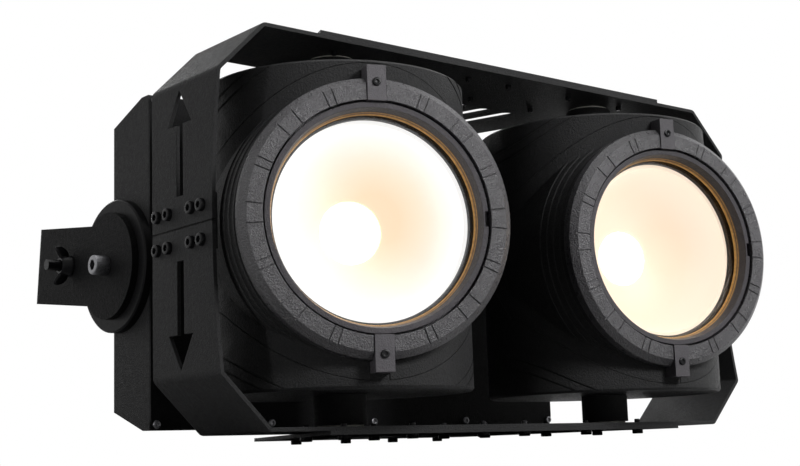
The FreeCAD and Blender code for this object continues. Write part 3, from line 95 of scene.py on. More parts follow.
# %% Helper for node materials
class Finish:
    """A node material in the making: its tree, its shader and the place on the piece."""

    def __init__(self, name):
        self.material = bpy.data.materials.new(name)
        self.material.use_nodes = True
        self.tree = self.material.node_tree
        self.shader = self.tree.nodes["Principled BSDF"]
        self.output = self.tree.nodes["Material Output"]
        self.place = self.add("ShaderNodeTexCoord").outputs["Object"]

    def add(self, kind, inputs=(), **settings):
        """New node. A socket given as an input is linked, and any other value is set."""
        node = self.tree.nodes.new(kind)
        for key, value in settings.items():
            setattr(node, key, value)
        for key, value in dict(inputs).items():
            self.feed(node.inputs[key], value)
        return node

    def feed(self, socket, value):
        """Link a socket to an input, or set the input to a value."""
        if isinstance(value, bpy.types.NodeSocket):
            self.tree.links.new(value, socket)
        else:
            socket.default_value = value

    def set(self, **values):
        """Shader inputs by name, with underscores for spaces."""
        for key, value in values.items():
            self.feed(self.shader.inputs[key.replace("_", " ")], value)
        return self

    def base_colour(self):
        """Socket that feeds the shader's colour so far."""
        return self.shader.inputs["Base Color"].links[0].from_socket

    def noise(self, scale, detail=3.0, rough=0.5):
        """Noise with features about 1 / scale metres wide."""
        inputs = {"Vector": self.place, "Scale": scale, "Detail": detail, "Roughness": rough}
        return self.add("ShaderNodeTexNoise", inputs).outputs["Fac"]

    def ramp(self, value, *stops):
        """Colour by value: each stop is (position, grey or (r, g, b))."""
        node = self.add("ShaderNodeValToRGB", {"Fac": value})
        elements = node.color_ramp.elements
        while len(elements) < len(stops):
            elements.new(0.5)
        for element, (position, colour) in zip(elements, stops):
            element.position = position
            element.color = (*(colour if isinstance(colour, tuple) else (colour,) * 3), 1.0)
        return node.outputs["Color"]

    def maths(self, operation, first, second=0.0):
        """Two values put together by one of the Math node's operations."""
        return self.add("ShaderNodeMath", {0: first, 1: second}, operation=operation).outputs[0]

    def blended(self, share, first, second):
        """Mix of two colours by a share from 0 to 1."""
        node = self.add("ShaderNodeMix", data_type="RGBA")
        self.feed(node.inputs["Factor"], share)
        for socket, value in zip([i for i in node.inputs if i.type == "RGBA"], (first, second)):
            self.feed(socket, value if isinstance(value, bpy.types.NodeSocket) else (*value, 1.0))
        return next(o for o in node.outputs if o.type == "RGBA")

    def radius_about(self, centre, axis):
        """Distance from a line: the length of (place - centre) x axis, for an axis of unit length."""
        arm = self.add("ShaderNodeVectorMath", {0: self.place, 1: tuple(centre)}, operation="SUBTRACT")
        cross = self.add("ShaderNodeVectorMath", {0: arm.outputs[0], 1: tuple(axis)}, operation="CROSS_PRODUCT")
        length = self.add("ShaderNodeVectorMath", {0: cross.outputs[0]}, operation="LENGTH")
        return length.outputs["Value"]

    def share_of_radius(self, radius, centre, axis):
        """Distance from a line as a share of a radius: 0 on the line and 1 at the radius."""
        return self.maths("DIVIDE", self.radius_about(centre, axis), radius)


# %% [markdown]
# ## The world
# A studio surrounds the light with white, but white from all sides would wash its black out. Light
# Path tells rays apart, so the world is white to the eye, to reflections and through glass, and dark
# grey to everything else.

# %% World
QUIET_STRENGTH, WHITE_STRENGTH = 0.05, 1.0
world = bpy.data.worlds.new("studio")
bpy.context.scene.world = world
world.use_nodes = True
tree = world.node_tree
tree.nodes.clear()

paths = tree.nodes.new("ShaderNodeLightPath")
seen = paths.outputs["Is Camera Ray"]
for kind in ("Is Glossy Ray", "Is Transmission Ray"):
    either = tree.nodes.new("ShaderNodeMath")
    either.operation = "MAXIMUM"
    tree.links.new(seen, either.inputs[0])
    tree.links.new(paths.outputs[kind], either.inputs[1])
    seen = either.outputs[0]

mix = tree.nodes.new("ShaderNodeMixShader")
tree.links.new(seen, mix.inputs[0])
for slot, strength in ((1, QUIET_STRENGTH), (2, WHITE_STRENGTH)):
    background = tree.nodes.new("ShaderNodeBackground")
    background.inputs["Color"].default_value = (1, 1, 1, 1)
    background.inputs["Strength"].default_value = strength
    tree.links.new(background.outputs[0], mix.inputs[slot])
output = tree.nodes.new("ShaderNodeOutputWorld")
tree.links.new(mix.outputs[0], output.inputs["Surface"])
print("world of", len(tree.nodes), "nodes")

# %% [markdown]
# ## Soft boxes
# Area lamps do the work, because their size sets how soft a shadow's edge is. The main one stands in
# front and above. A tall narrow one at the left throws the straight edge of the side panel on the
# pod. One overhead and one behind part the black from the background.

# %% Lamps
def softbox(name, place, aim, size, power):
    """Area lamp at a place, turned to look at a point."""
    lamp = bpy.data.lights.new(name, "AREA")
    lamp.shape = "RECTANGLE"
    lamp.size, lamp.size_y = size
    lamp.energy = power
    holder = bpy.data.objects.new(name, lamp)
    holder.location = place
    holder.rotation_euler = (Vector(aim) - Vector(place)).to_track_quat("-Z", "Y").to_euler()
    bpy.context.scene.collection.objects.link(holder)
    print("lamp", name, power, "W")


softbox("front", (0.22, -1.56, 0.77), (0, 0, 0.14), (0.4, 0.4), 27)
softbox("side_left", (-1.7, -0.14, 0.08), (0, -0.12, 0.13), (0.08, 0.45), 6.5)
softbox("overhead", (0.2, -0.1, 1.6), (0, 0, 0.1), (0.9, 0.8), 6)
softbox("rear", (0.6, 1.5, 0.7), (0, 0, 0.13), (0.9, 0.6), 14)

# %% [markdown]
# ## The floor
# The floor is pale paper that keeps the object's shadow and turns to plain white further out, so it
# has no horizon. It sends little light back up, or the black underside would look grey. Seen from
# below it lets the eye through, because the portrait looks up at the underside of a light that
# stands on its screw heads.

# %% Floor
FLOOR_HALF = 5.0
FADE_START, FADE_END = 0.6, 2.2
SENT_BACK = (0.15, 0.15, 0.15)

floor_corners = [(x * FLOOR_HALF, y * FLOOR_HALF, 0.0) for x, y in ((-1, -1), (1, -1), (1, 1), (-1, 1))]
floor_mesh = bpy.data.meshes.new("floor")
floor_mesh.from_pydata(floor_corners, [], [(0, 1, 2, 3)])
floor = bpy.data.objects.new("floor", floor_mesh)
bpy.context.scene.collection.objects.link(floor)

paper = Finish("pale_floor")
scattered = paper.add("ShaderNodeLightPath").outputs["Is Diffuse Ray"]
pale = paper.ramp(paper.noise(3.0), (0.3, 0.80), (0.7, 0.84))
paper.set(Base_Color=paper.blended(scattered, pale, SENT_BACK), Roughness=0.75, Specular_IOR_Level=0.2)
glow = paper.add("ShaderNodeEmission", {"Strength": 1.0})
distance = paper.radius_about((0, 0, 0), (0, 0, 1))
fade = paper.add("ShaderNodeMapRange", {"Value": distance, "From Min": FADE_START, "From Max": FADE_END})
sweep = paper.add("ShaderNodeMixShader", {0: fade.outputs[0], 1: paper.shader.outputs[0], 2: glow.outputs[0]})
below = paper.add("ShaderNodeNewGeometry").outputs["Backfacing"]
clear = paper.add("ShaderNodeBsdfTransparent")
both_sides = paper.add("ShaderNodeMixShader", {0: below, 1: sweep.outputs[0], 2: clear.outputs[0]})
paper.feed(paper.output.inputs["Surface"], both_sides.outputs[0])
floor_mesh.materials.append(paper.material)
print("floor", 2 * FLOOR_HALF, "m wide, white from", FADE_END, "m out")

# %% [markdown]
# ## Edges and relief
# No real edge is sharp: a coat runs round it, and wear makes it paler. The meshes of the solids stay as
# they are, so no bevel is cut. The Bevel node rounds the normal instead, which costs no faces, and a
# bump lays the grain over that rounded normal.

# %% Helper for coats
class Coat(Finish):
    """A finish with rounded edges and a relief."""

    def round_edges(self, radius):
        """Normal that is rounded off near edges, as coated or moulded edges are."""
        return self.add("ShaderNodeBevel", {"Radius": radius}, samples=6).outputs["Normal"]

    def edge_mask(self, radius):
        """1 on an edge and 0 on a flat: the dot product of the rounded and the true normal, turned over and
        stretched between 0.80 and 0.985."""
        normal = self.add("ShaderNodeNewGeometry").outputs["Normal"]
        inputs = {0: self.round_edges(radius), 1: normal}
        node = self.add("ShaderNodeVectorMath", inputs, operation="DOT_PRODUCT")
        return self.ramp(node.outputs["Value"], (0.80, 1.0), (0.985, 0.0))

    def bump(self, height, strength, distance, normal=None):
        """Bump the normal by a height, over a rounded normal where one is given."""
        inputs = {"Height": height, "Strength": strength, "Distance": distance}
        if normal is not None:
            inputs["Normal"] = normal
        return self.add("ShaderNodeBump", inputs).outputs["Normal"]


# %% [markdown]
# ## The black finishes
# Nearly everything is black, so the pieces part by gloss and grain. The sheet has a powder coat whose
# fine relief breaks up its highlight. The mouldings have a coarser spark texture and hardly any
# gloss, and the rings are a shade paler and cooler. A picture of a texture would need unwrapping and
# would blur close up, so each grain is a noise. Edges catch light because a coat rounds them.

# %% Recipe of a black finish
CLOUDS = 9.0          # changes of tone per metre
SPECK_SHARE = 0.35    # of a speck's tone that shows
COARSE_SHARE = 0.4    # of the relief, on a grain about four times as wide
UNEVEN_GLOSS = 0.07   # roughness to either side of its mean
RELIEF_STRENGTH = 0.9


def black_finish(name, dark, pale, grain, height, rough, edge, wear, gloss, dished=None):
    """Black in clouds between two tones, with paler specks and edges worn paler. The relief is a grain of 1 / grain
    metres on a coarser one. Dished is a line and a slope: the normal leans away from the line as on a shallow
    cone."""
    finish = Coat(name)
    clouds = finish.ramp(finish.noise(CLOUDS, 4.0), (0.35, dark), (0.65, pale))
    specks = finish.ramp(finish.noise(grain * 1.7, 2.0), (0.52, 0.0), (0.75, 1.0))
    speck_tone = tuple(v * 2.2 + 0.01 for v in pale)
    speckled = finish.blended(finish.maths("MULTIPLY", specks, SPECK_SHARE), clouds, speck_tone)
    worn = finish.maths("MULTIPLY", finish.edge_mask(edge), wear)
    worn_tone = tuple(v * 3 + 0.05 for v in pale)
    coarse = finish.maths("MULTIPLY", finish.noise(grain * 0.23), COARSE_SHARE)
    relief = finish.maths("ADD", finish.noise(grain, 3.0, 0.65), coarse)
    patches = finish.ramp(finish.noise(grain * 0.4), (0.3, rough - UNEVEN_GLOSS), (0.7, rough + UNEVEN_GLOSS))
    normal = finish.round_edges(edge)
    if dished:
        centre, axis, slope = dished
        normal = finish.bump(finish.radius_about(centre, axis), 1.0, -slope, normal)
    return finish.set(Base_Color=finish.blended(worn, speckled, worn_tone), Roughness=patches,
                      Specular_IOR_Level=gloss, Normal=finish.bump(relief, RELIEF_STRENGTH, height, normal))


# %% Sheet and moulding finishes
POWDER_COAT = dict(dark=(0.022, 0.022, 0.0225), pale=(0.030, 0.030, 0.0305), grain=950, height=0.00110,
                   rough=0.48, edge=0.0006, wear=0.10, gloss=0.05)
FINISHES = {
    "powder_coat": black_finish("powder_coat", **POWDER_COAT),
    # Painted shade: the chassis plate lies deep behind the pods where little light reaches, so it gets a darker copy
    # of the coat.
    "plate_coat": black_finish(
        "plate_coat", dark=(0.006, 0.006, 0.0062), pale=(0.009, 0.009, 0.0093), grain=950, height=0.00080,
        rough=0.50, edge=0.0006, wear=0.10, gloss=0.04),
    "yoke_coat": black_finish(
        "yoke_coat", dark=(0.003, 0.003, 0.0032), pale=(0.006, 0.006, 0.0063), grain=950, height=0.00080,
        rough=0.55, edge=0.0006, wear=0.10, gloss=0.04),
    "pod_plastic": black_finish(
        "pod_plastic", dark=(0.018, 0.018, 0.0185), pale=(0.030, 0.030, 0.0305), grain=850, height=0.00130,
        rough=0.38, edge=0.0007, wear=0.06, gloss=0.05),
    "ring_plastic": black_finish(
        "ring_plastic", dark=(0.040, 0.037, 0.041), pale=(0.062, 0.058, 0.064), grain=1200, height=0.00040,
        rough=0.40, edge=0.0006, wear=0.10, gloss=0.20),
    "disc": black_finish(
        "friction_disc", dark=(0.007, 0.007, 0.0075), pale=(0.011, 0.011, 0.0115), grain=900, height=0.00008,
        rough=0.42, edge=0.0005, wear=0.08, gloss=0.05),
    "black_screw": black_finish(
        "black_zinc", dark=(0.005, 0.005, 0.006), pale=(0.012, 0.012, 0.013), grain=2600, height=0.00008,
        rough=0.20, edge=0.0003, wear=0.10, gloss=0.10),
    "button_plastic": black_finish(
        "button_caps", dark=(0.030, 0.030, 0.032), pale=(0.040, 0.040, 0.042), grain=2000, height=0.00004,
        rough=0.35, edge=0.0004, wear=0.08, gloss=0.3),
    "socket_plastic": black_finish(
        "socket_shells", dark=(0.016, 0.016, 0.018), pale=(0.024, 0.024, 0.026), grain=1800, height=0.00006,
        rough=0.32, edge=0.0004, wear=0.06, gloss=0.3),
}
print("black finishes", sorted(FINISHES))

# %% [markdown]
# ## Metals, nylon, board and window
# Bare metal shows its making: the sinks are extruded along their height, so their noise is stretched
# upwards, and the bushes are turned. Stretching the coordinates is simpler than drawing the lines.
# The board is green solder mask, and the window is dark and glossy.

# %% Other finishes
BRUSHING = 900.0      # brush lines per metre
FINE_EDGE = 0.0003    # radius of a cut or moulded edge
METAL_RELIEF, PLAIN_RELIEF = 0.00006, 0.00005


def metal_finish(name, tone, rough, stretch):
    """Metal whose brushing is a noise stretched along one direction."""
    finish = Coat(name)
    lines = finish.add("ShaderNodeMapping", {"Vector": finish.place, "Scale": stretch})
    inputs = {"Vector": lines.outputs[0], "Scale": BRUSHING, "Detail": 3.0}
    grain = finish.add("ShaderNodeTexNoise", inputs).outputs["Fac"]
    colour = finish.ramp(grain, (0.3, tuple(v * 0.82 for v in tone)), (0.7, tone))
    patches = finish.ramp(grain, (0.3, rough - 0.06), (0.7, rough + 0.08))
    return finish.set(Base_Color=colour, Metallic=1.0, Roughness=patches,
                      Normal=finish.bump(grain, 0.25, METAL_RELIEF, finish.round_edges(FINE_EDGE)))


def plain_finish(name, dark, pale, rough, grain=600.0, **sockets):
    """Two close tones and a fine bump."""
    finish = Coat(name)
    value = finish.noise(grain, 3.0)
    return finish.set(Base_Color=finish.ramp(value, (0.35, dark), (0.65, pale)), Roughness=rough,
                      Normal=finish.bump(value, 0.2, PLAIN_RELIEF, finish.round_edges(FINE_EDGE)), **sockets)


FINISHES |= {
    "bare_aluminium": metal_finish("extruded_aluminium", (0.62, 0.63, 0.64), 0.34, (1.0, 1.0, 0.06)),
    "steel": metal_finish("turned_steel", (0.48, 0.48, 0.50), 0.30, (1.0, 1.0, 0.2)),
    "worn_zinc": metal_finish("worn_zinc", (0.20, 0.20, 0.21), 0.32, (1.0, 1.0, 1.0)),
    "nylon": plain_finish("nylon", (0.55, 0.54, 0.48), (0.64, 0.63, 0.57), 0.45),
    "board": plain_finish("circuit_board", (0.010, 0.10, 0.035), (0.018, 0.16, 0.055), 0.35, 180.0),
    "window": plain_finish("dark_window", (0.006, 0.008, 0.012), (0.010, 0.013, 0.020), 0.06, 60.0,
                           Coat_Weight=0.6, Coat_Roughness=0.04),
}
print("finishes so far", len(FINISHES))

# %% [markdown]
# ## Where the pods look
# Each pod swivels about an upright line, and both are turned at rest. What glows and what is round
# needs the lens axis. It is measured rather than written down, so it follows a change of the solids:
# it runs from the swivel's line to the middle of the lens.

# %% Where each pod looks
def node_points(node):
    """Vertices of a node of the solids, as an (n, 3) array."""
    mesh = frame["nodes"][node].data
    points = np.empty(len(mesh.vertices) * 3, np.float32)
    mesh.vertices.foreach_get("co", points)
    return points.reshape(-1, 3).astype(float)


PODS = {}
for joint in frame["joints"]:
    if joint["child"].startswith("pod_"):
        pivot = np.array(joint["pos_m"])
        lens_points = node_points(joint["child"] + "_lens")
        forward = (lens_points.min(0) + lens_points.max(0)) / 2 - pivot
        forward[2] = 0.0
        PODS[joint["child"]] = (pivot, forward / np.linalg.norm(forward))
for name, (pivot, forward) in PODS.items():
    print(name, "pivot", pivot.round(4), "looks along", forward.round(4))

# %% [markdown]
# ## The lenses and what glows behind them
# Each pod has a clear disc, a bright bowl and a round emitter. Seen from the side, the emitter is a
# white disc that has slid off centre. The bowl is no lamp: its glow is painted light that stands for
# the emitter's light reflected in it, set by its distance from the lens axis and not by how it is
# looked at, so it is right from all sides. The warm shade is painted shade of the bowl, laid on as a
# tint of the lens: peach round the emitter, near white at the left pod's rim and peach out to the rim
# of the right one.

# %% Glowing finishes
BOWL_RADIUS, EMITTER_RADIUS, LENS_RADIUS = 0.062, 0.0195, 0.0623
# The bowl's strength is painted light; the emitter's is the real lamp.
BOWL_PAINTED_LIGHT, EMITTER_GLOW = 0.92, 3.0
# Painted shade of the bowl behind each lens, laid on the lens as a tint by share of its radius.
LENS_PAINTED_SHADE = {
    "pod_left": ((0.28, (1.0, 0.80, 0.59)), (0.50, (1.0, 0.88, 0.72)), (0.72, (1.0, 0.96, 0.88)),
                 (0.92, (1.0, 1.0, 1.0))),
    "pod_right": ((0.28, (1.0, 0.79, 0.63)), (0.50, (1.0, 0.82, 0.67)), (0.75, (1.0, 0.84, 0.69)),
                  (0.95, (1.0, 0.84, 0.68))),
}


def painted_light_bowl_finish(name, centre, axis):
    """Painted light by distance from the axis, for the emitter's light in the bowl: a soft white that falls a little
    from the emitter to the rim.
    """
    finish = Coat(name)
    share = finish.share_of_radius(BOWL_RADIUS, centre, axis)
    blotches = finish.maths("MULTIPLY", finish.noise(38.0, 2.0), 0.10)
    # Painted light: the emitter's light reflected in the bowl, by distance from the axis.
    glow = finish.ramp(finish.maths("ADD", share, blotches), (0.36, (1.0, 0.97, 0.90)), (0.45, (0.97, 0.92, 0.86)),
                       (0.80, (0.96, 0.92, 0.86)), (1.0, (0.97, 0.96, 0.94)))
    return finish.set(Base_Color=(0.20, 0.19, 0.18, 1), Roughness=0.45, Specular_IOR_Level=0.2,
                      Emission_Color=glow, Emission_Strength=BOWL_PAINTED_LIGHT,
                      Normal=finish.bump(finish.noise(420.0, 2.0), 0.25, 0.0003))


def emitter_finish(name, centre, axis):
    """White hot in the middle and a little warmer towards its edge, over yellow specks."""
    finish = Finish(name)
    share = finish.share_of_radius(EMITTER_RADIUS, centre, axis)
    glow = finish.ramp(share, (0.0, (1.0, 1.0, 1.0)), (0.85, (1.0, 0.98, 0.94)), (1.0, (1.0, 0.90, 0.74)))
    specks = finish.ramp(finish.noise(700.0, 1.0), (0.45, (0.92, 0.70, 0.32)), (0.6, (0.98, 0.80, 0.45)))
    return finish.set(Base_Color=specks, Roughness=0.5, Emission_Color=glow, Emission_Strength=EMITTER_GLOW)


def lens_finish(name, centre, axis, stops):
    """Clear disc, tinted by distance from its axis with the given stops: painted shade of the bowl behind it. A fine
    frosting is in its bump. Shadow and diffuse rays pass, so the glow lights the ring round it."""
    finish = Coat(name)
    share = finish.share_of_radius(LENS_RADIUS, centre, axis)
    blotches = finish.maths("MULTIPLY", finish.noise(60.0, 2.0), 0.06)
    # Painted shade of the bowl, as a tint of the lens.
    painted_bowl_shade = finish.ramp(finish.maths("ADD", share, blotches), *stops)
    pebble = finish.add("ShaderNodeTexVoronoi", {"Vector": finish.place, "Scale": 520.0}).outputs["Distance"]
    finish.set(Base_Color=painted_bowl_shade, Roughness=0.08, Transmission_Weight=1.0, IOR=1.46,
               Normal=finish.bump(pebble, 0.05, 0.0002))
    paths = finish.add("ShaderNodeLightPath")
    passing = finish.maths("MAXIMUM", paths.outputs["Is Shadow Ray"], paths.outputs["Is Diffuse Ray"])
    clear = finish.add("ShaderNodeBsdfTransparent")
    mix = finish.add("ShaderNodeMixShader", {0: passing, 1: finish.shader.outputs[0], 2: clear.outputs[0]})
    finish.feed(finish.output.inputs["Surface"], mix.outputs[0])
    return finish


# The reflector slot glows with painted light, and the glass carries painted shade of it.
FINISHES |= {
    "glass": lens_finish("clear_lens", *PODS["pod_left"], LENS_PAINTED_SHADE["pod_left"]),
    "reflector": painted_light_bowl_finish("bowl_glow", *PODS["pod_left"]),
    "emitter": emitter_finish("emitter_glow", *PODS["pod_left"]),
}
print("finishes", len(FINISHES))

# %% [markdown]
# ## Seam, rings and bezels
# The side panels show a fine dark line where the band's halves meet: painted shade of the gap between
# them. The bezels have two thin lines round their bore: a painted reflection of the warm light behind
# the lens, in a brass tone. Both could be cut as grooves, but they are under a millimetre wide, so they
# are drawn by height or by distance from the lens axis.
# The front rings are paler than the drums, and the same distance leans their face outwards a little.

# %% Finishes by height and by distance
BEZEL_RADIUS = 0.070
RING_SLOPE = 0.14
SEAM_PAINTED_SHADE = (0.002, 0.002, 0.002)


def seam_finish(name, height):
    """Powder coat with painted shade of the joint's gap, a line at a height: full within 0.5 mm of it and gone at 0.9
    mm.
    """
    finish = black_finish(name, **POWDER_COAT)
    rise = finish.add("ShaderNodeSeparateXYZ", {"Vector": finish.place}).outputs["Z"]
    away = finish.maths("ABSOLUTE", finish.maths("SUBTRACT", rise, height))
    inputs = {"Value": away, "From Min": 0.0005, "From Max": 0.0009, "To Min": 1.0, "To Max": 0.0}
    # Painted shade of the gap between the band's halves.
    line = finish.add("ShaderNodeMapRange", inputs).outputs[0]
    return finish.set(Base_Color=finish.blended(line, finish.base_colour(), SEAM_PAINTED_SHADE))


def ring_finish(name, centre, axis):
    """The ring's paler black, on a face that leans outwards by 8 degrees."""
    return black_finish(name, dark=(0.018, 0.017, 0.019), pale=(0.032, 0.030, 0.034), grain=850, height=0.00110,
                        rough=0.31, edge=0.0006, wear=0.10, gloss=0.55, dished=(centre, axis, RING_SLOPE))


def bezel_finish_painted_glint(name, centre, axis):
    """The ring's black, with two lines at 92 and 93 % of the bezel's radius: a painted reflection of the light behind
    the lens, in brass.
    """
    finish = black_finish(name, dark=(0.030, 0.028, 0.031), pale=(0.048, 0.044, 0.049), grain=900, height=0.00080,
                          rough=0.40, edge=0.0006, wear=0.10, gloss=0.20)
    share = finish.share_of_radius(BEZEL_RADIUS, centre, axis)
    # The two lines are a painted reflection of the warm light behind the lens, in a brass tone.
    lines = finish.ramp(share, (0.9215, 1.0), (0.9230, 0.0),
                        (0.9265, 0.0), (0.9280, 0.9), (0.9320, 0.9), (0.9340, 0.0))
    brass = finish.ramp(finish.noise(500.0, 2.0), (0.3, (0.42, 0.21, 0.05)), (0.7, (0.66, 0.36, 0.10)))
    return finish.set(Base_Color=finish.blended(lines, finish.base_colour(), brass))


# %% [markdown]
# ## A finish for each node
# The record names a material slot for each node of the solids, and most nodes take the finish of
# their slot. A few differ from others of their slot and are named one by one, such as the yoke, whose
# coat is the darkest, and the chassis plate, whose darker coat is painted shade.

# %% Give each node of the solids its finish
slot_of = {row["node"]: row["material_slot"] for row in frame["record"]["subparts"]}
seam_height = (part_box("frame_lower")[1][2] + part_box("frame_upper")[0][2]) / 2
# Both halves of the frame carry the seam's painted shade.
seamed = seam_finish("seamed_coat", seam_height)
own_finish = {
    "yoke": FINISHES["yoke_coat"],
    "yoke_bolts": FINISHES["black_screw"],
    # A darker coat as painted shade.
    "chassis_plate": FINISHES["plate_coat"],
    "frame_lower": seamed,
    "frame_upper": seamed,
}
for name, (pivot, forward) in PODS.items():
    own_finish[name + "_bezel"] = bezel_finish_painted_glint(name + "_bezel_plastic", pivot, forward)
    own_finish[name + "_front_ring"] = ring_finish(name + "_ring_plastic", pivot, forward)
    own_finish[name + "_pivot_bolts"] = FINISHES["black_screw"]
for name, node in frame["nodes"].items():
    node.data.materials.clear()
    node.data.materials.append(own_finish.get(name, FINISHES[slot_of[name]]).material)
print("finished", len(slot_of), "nodes,", len(own_finish), "of them with a finish of their own")

# %% [markdown]
# ## Surfaces from arrays
# Lenses, bowls, screws and hubs are turned pieces. Blender's Spin could make the round ones, but not a
# hexagon socket or a knurled cap. Here a profile of (radius, height) rows is carried round an axis,
# a row may have a factor of the angle, and the whole grid of points is one array product.

# %% Helpers for turned pieces
def across(axis):
    """Two directions square to the axis and to each other."""
    axis = np.asarray(axis, float) / np.linalg.norm(axis)
    helper = np.array([0.0, 0.0, 1.0]) if abs(axis[2]) < 0.9 else np.array([1.0, 0.0, 0.0])
    side = np.cross(helper, axis)
    side /= np.linalg.norm(side)
    return side, np.cross(axis, side)


def turned(profile, centre, axis, steps, outline=()):
    """Grid of a turned surface: point = centre + h axis + r k(t) (cos t side + sin t top), where k is 1 or, for
    rows named in outline, that row's factor of the angle."""
    profile = np.asarray(profile, float)
    angle = np.arange(steps) * 2 * np.pi / steps
    side, top = across(axis)
    spoke = np.outer(np.cos(angle), side) + np.outer(np.sin(angle), top)
    radius = np.repeat(profile[:, :1], steps, 1)
    for row, factor in dict(outline).items():
        radius[row] *= factor(angle)
    return centre + profile[:, 1, None, None] * np.asarray(axis) + radius[..., None] * spoke


def skin(grid):
    """Points and quads of a grid of rows, whose last column joins the first."""
    rows, columns = grid.shape[:2]
    index = np.arange(rows * columns).reshape(rows, columns)
    index = np.column_stack([index, index[:, :1]])
    quads = np.stack([index[:-1, :-1], index[:-1, 1:], index[1:, 1:], index[1:, :-1]], -1).reshape(-1, 4)
    return grid.reshape(-1, 3), quads


# %% [markdown]
# ## From arrays to pieces
# A piece may have several closed shells, such as the screws of one node. They become one mesh, whose
# poles are merged and whose faces are turned outwards. Then the piece takes its finish, is hung on what
# it rides on, and the nodes that it stands for are hidden.

# %% Make a piece
MERGE_DISTANCE = 1e-6


def make_piece(name, shells, finish, body, replaces=(), sharp=32.0):
    """One object from shells of points and quads: joined, merged at its poles, turned outwards and smoothed."""
    starts = np.cumsum([0] + [len(points) for points, _ in shells[:-1]])
    points = np.concatenate([points for points, _ in shells])
    quads = np.concatenate([quads + start for (_, quads), start in zip(shells, starts)])
    mesh = bpy.data.meshes.new(name)
    mesh.vertices.add(len(points))
    mesh.vertices.foreach_set("co", points.astype(np.float32).ravel())
    mesh.loops.add(quads.size)
    mesh.loops.foreach_set("vertex_index", quads.astype(np.int32).ravel())
    mesh.polygons.add(len(quads))
    mesh.polygons.foreach_set("loop_start", np.arange(0, quads.size, 4, dtype=np.int32))
    mesh.update(calc_edges=True)
    work = bmesh.new()
    work.from_mesh(mesh)
    bmesh.ops.remove_doubles(work, verts=work.verts, dist=MERGE_DISTANCE)
    bmesh.ops.recalc_face_normals(work, faces=work.faces)
    work.to_mesh(mesh)
    work.free()
    mesh.shade_smooth()
    mesh.set_sharp_from_angle(angle=math.radians(sharp))
    mesh.materials.append(finish.material)
    piece = bpy.data.objects.new(name, mesh)
    bpy.context.scene.collection.objects.link(piece)
    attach(piece, body)
    if replaces:
        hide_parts(*replaces)
    print(name, len(mesh.polygons), "faces")


# %% [markdown]
# ## Lens, bowl and emitter
# The lens is a shallow dome with a flat rim. The bowl is a thin shell: its inner line bulges outwards
# from the emitter to the rim, and the outer line is the same one moved out by the wall. The emitter
# sits in the hole at the bottom as a low dome on a square-edged base. Each profile starts from the
# measured depth and radius of the node that it stands for, so it sits where that node sits.

# %% Profiles of the pod's optics
def extent(node, pivot, forward):
    """Rear and front of a node along its lens axis, and its largest radius about it."""
    arm = node_points(node) - pivot
    depth = arm @ forward
    return depth.min(), depth.max(), np.linalg.norm(arm - np.outer(depth, forward), axis=1).max()


def arc(centre, radius, start, end, count):
    """Points of a circular arc in the profile's plane, angles in degrees."""
    angle = np.radians(np.linspace(start, end, count))
    return np.column_stack([centre[0] + radius * np.cos(angle), centre[1] + radius * np.sin(angle)])


def bulged(start, end, radius, count=22):
    """Arc of a given radius from start to end, bulged outwards: its centre is sqrt(radius^2 - chord^2 / 4) from the
    middle of the chord, on the side of the axis."""
    start, end = np.array(start), np.array(end)
    chord = end - start
    length = np.linalg.norm(chord)
    inwards = np.array([-chord[1], chord[0]]) / length
    centre = (start + end) / 2 + math.sqrt(radius ** 2 - length ** 2 / 4) * inwards
    first, last = (math.degrees(math.atan2(*(point - centre)[::-1])) for point in (start, end))
    return arc(centre, radius, first, last, count)


def lens_profile(rear, front, radius, crown=0.0008, rim=0.006):
    """Rear flat, edge, rim, then the dome h = front - crown (r / R)^2, which just touches the disc's old face."""
    steps = np.linspace(radius - rim, 0.0, 14)
    dome = front - crown * (steps / steps[0]) ** 2
    edge = [(0, rear), (radius, rear), (radius, front - crown)]
    return np.vstack([edge, np.column_stack([steps, dome])])


def bowl_profile(rear, front, radius, wall=0.0015, rim=0.0016, curve=0.0466):
    """Inner line, rim and outer line of a thin shell. Its hole is 45.5 mm and its mouth 5.5 mm in from the rim."""
    hole, mouth = radius - 0.0455, radius - 0.0055
    inner = bulged((hole, rear), (mouth, front), curve)
    outer = bulged((hole + wall, rear), (mouth + wall, front - rim), curve)
    return np.vstack([inner, [(radius, front), (radius, front - rim)], outer[::-1], inner[:1]])


def emitter_profile(rear, front, radius, low=0.0008, dome_radius=0.0194):
    """Base disc with a low dome on it, whose arc has the radius (r^2 + low^2) / 2 low."""
    curve = (dome_radius ** 2 + low ** 2) / (2 * low)
    spread = math.degrees(math.asin(dome_radius / curve))
    dome = arc((0, front - curve), curve, 90 - spread, 90, 9)
    return np.vstack([[(0, rear), (radius, rear), (radius, front - low)], dome])


# %% Pod optics
for name, (pivot, forward) in PODS.items():
    # The bowl's glow is painted light, and the lens's tint is painted shade of it.
    bowl = painted_light_bowl_finish(name + "_bowl_glow", pivot, forward)
    hot = emitter_finish(name + "_emitter_glow", pivot, forward)
    clear = lens_finish(name + "_clear_lens", pivot, forward, LENS_PAINTED_SHADE[name])
    for piece, node, profile, steps, finish, slot, sharp in (
        ("_clear_disc", name + "_lens", lens_profile, 96, clear, "glass", 20),
        ("_bowl", name + "_reflector", bowl_profile, 96, bowl, "reflector", 32),
        ("_hot_disc", name + "_led_module", emitter_profile, 64, hot, "emitter", 32),
    ):
        grid = turned(profile(*extent(node, pivot, forward)), pivot, forward, steps)
        make_piece(name + piece, [skin(grid)], finish, name, [node], sharp)

# %% [markdown]
# ## Screws
# The solids hold plain round screws, and the real ones have a rounded head with a hexagon socket.
# They could be set by hand from a list of places, which would go wrong with the next change of size.
# So each one is found again in its node, by walking through its triangles, and turned anew.

# %% Find the screws in a node
HEAD_SHARE = 0.97     # of the largest radius, from which a point belongs to the head
SAME_HEIGHT = 1e-5


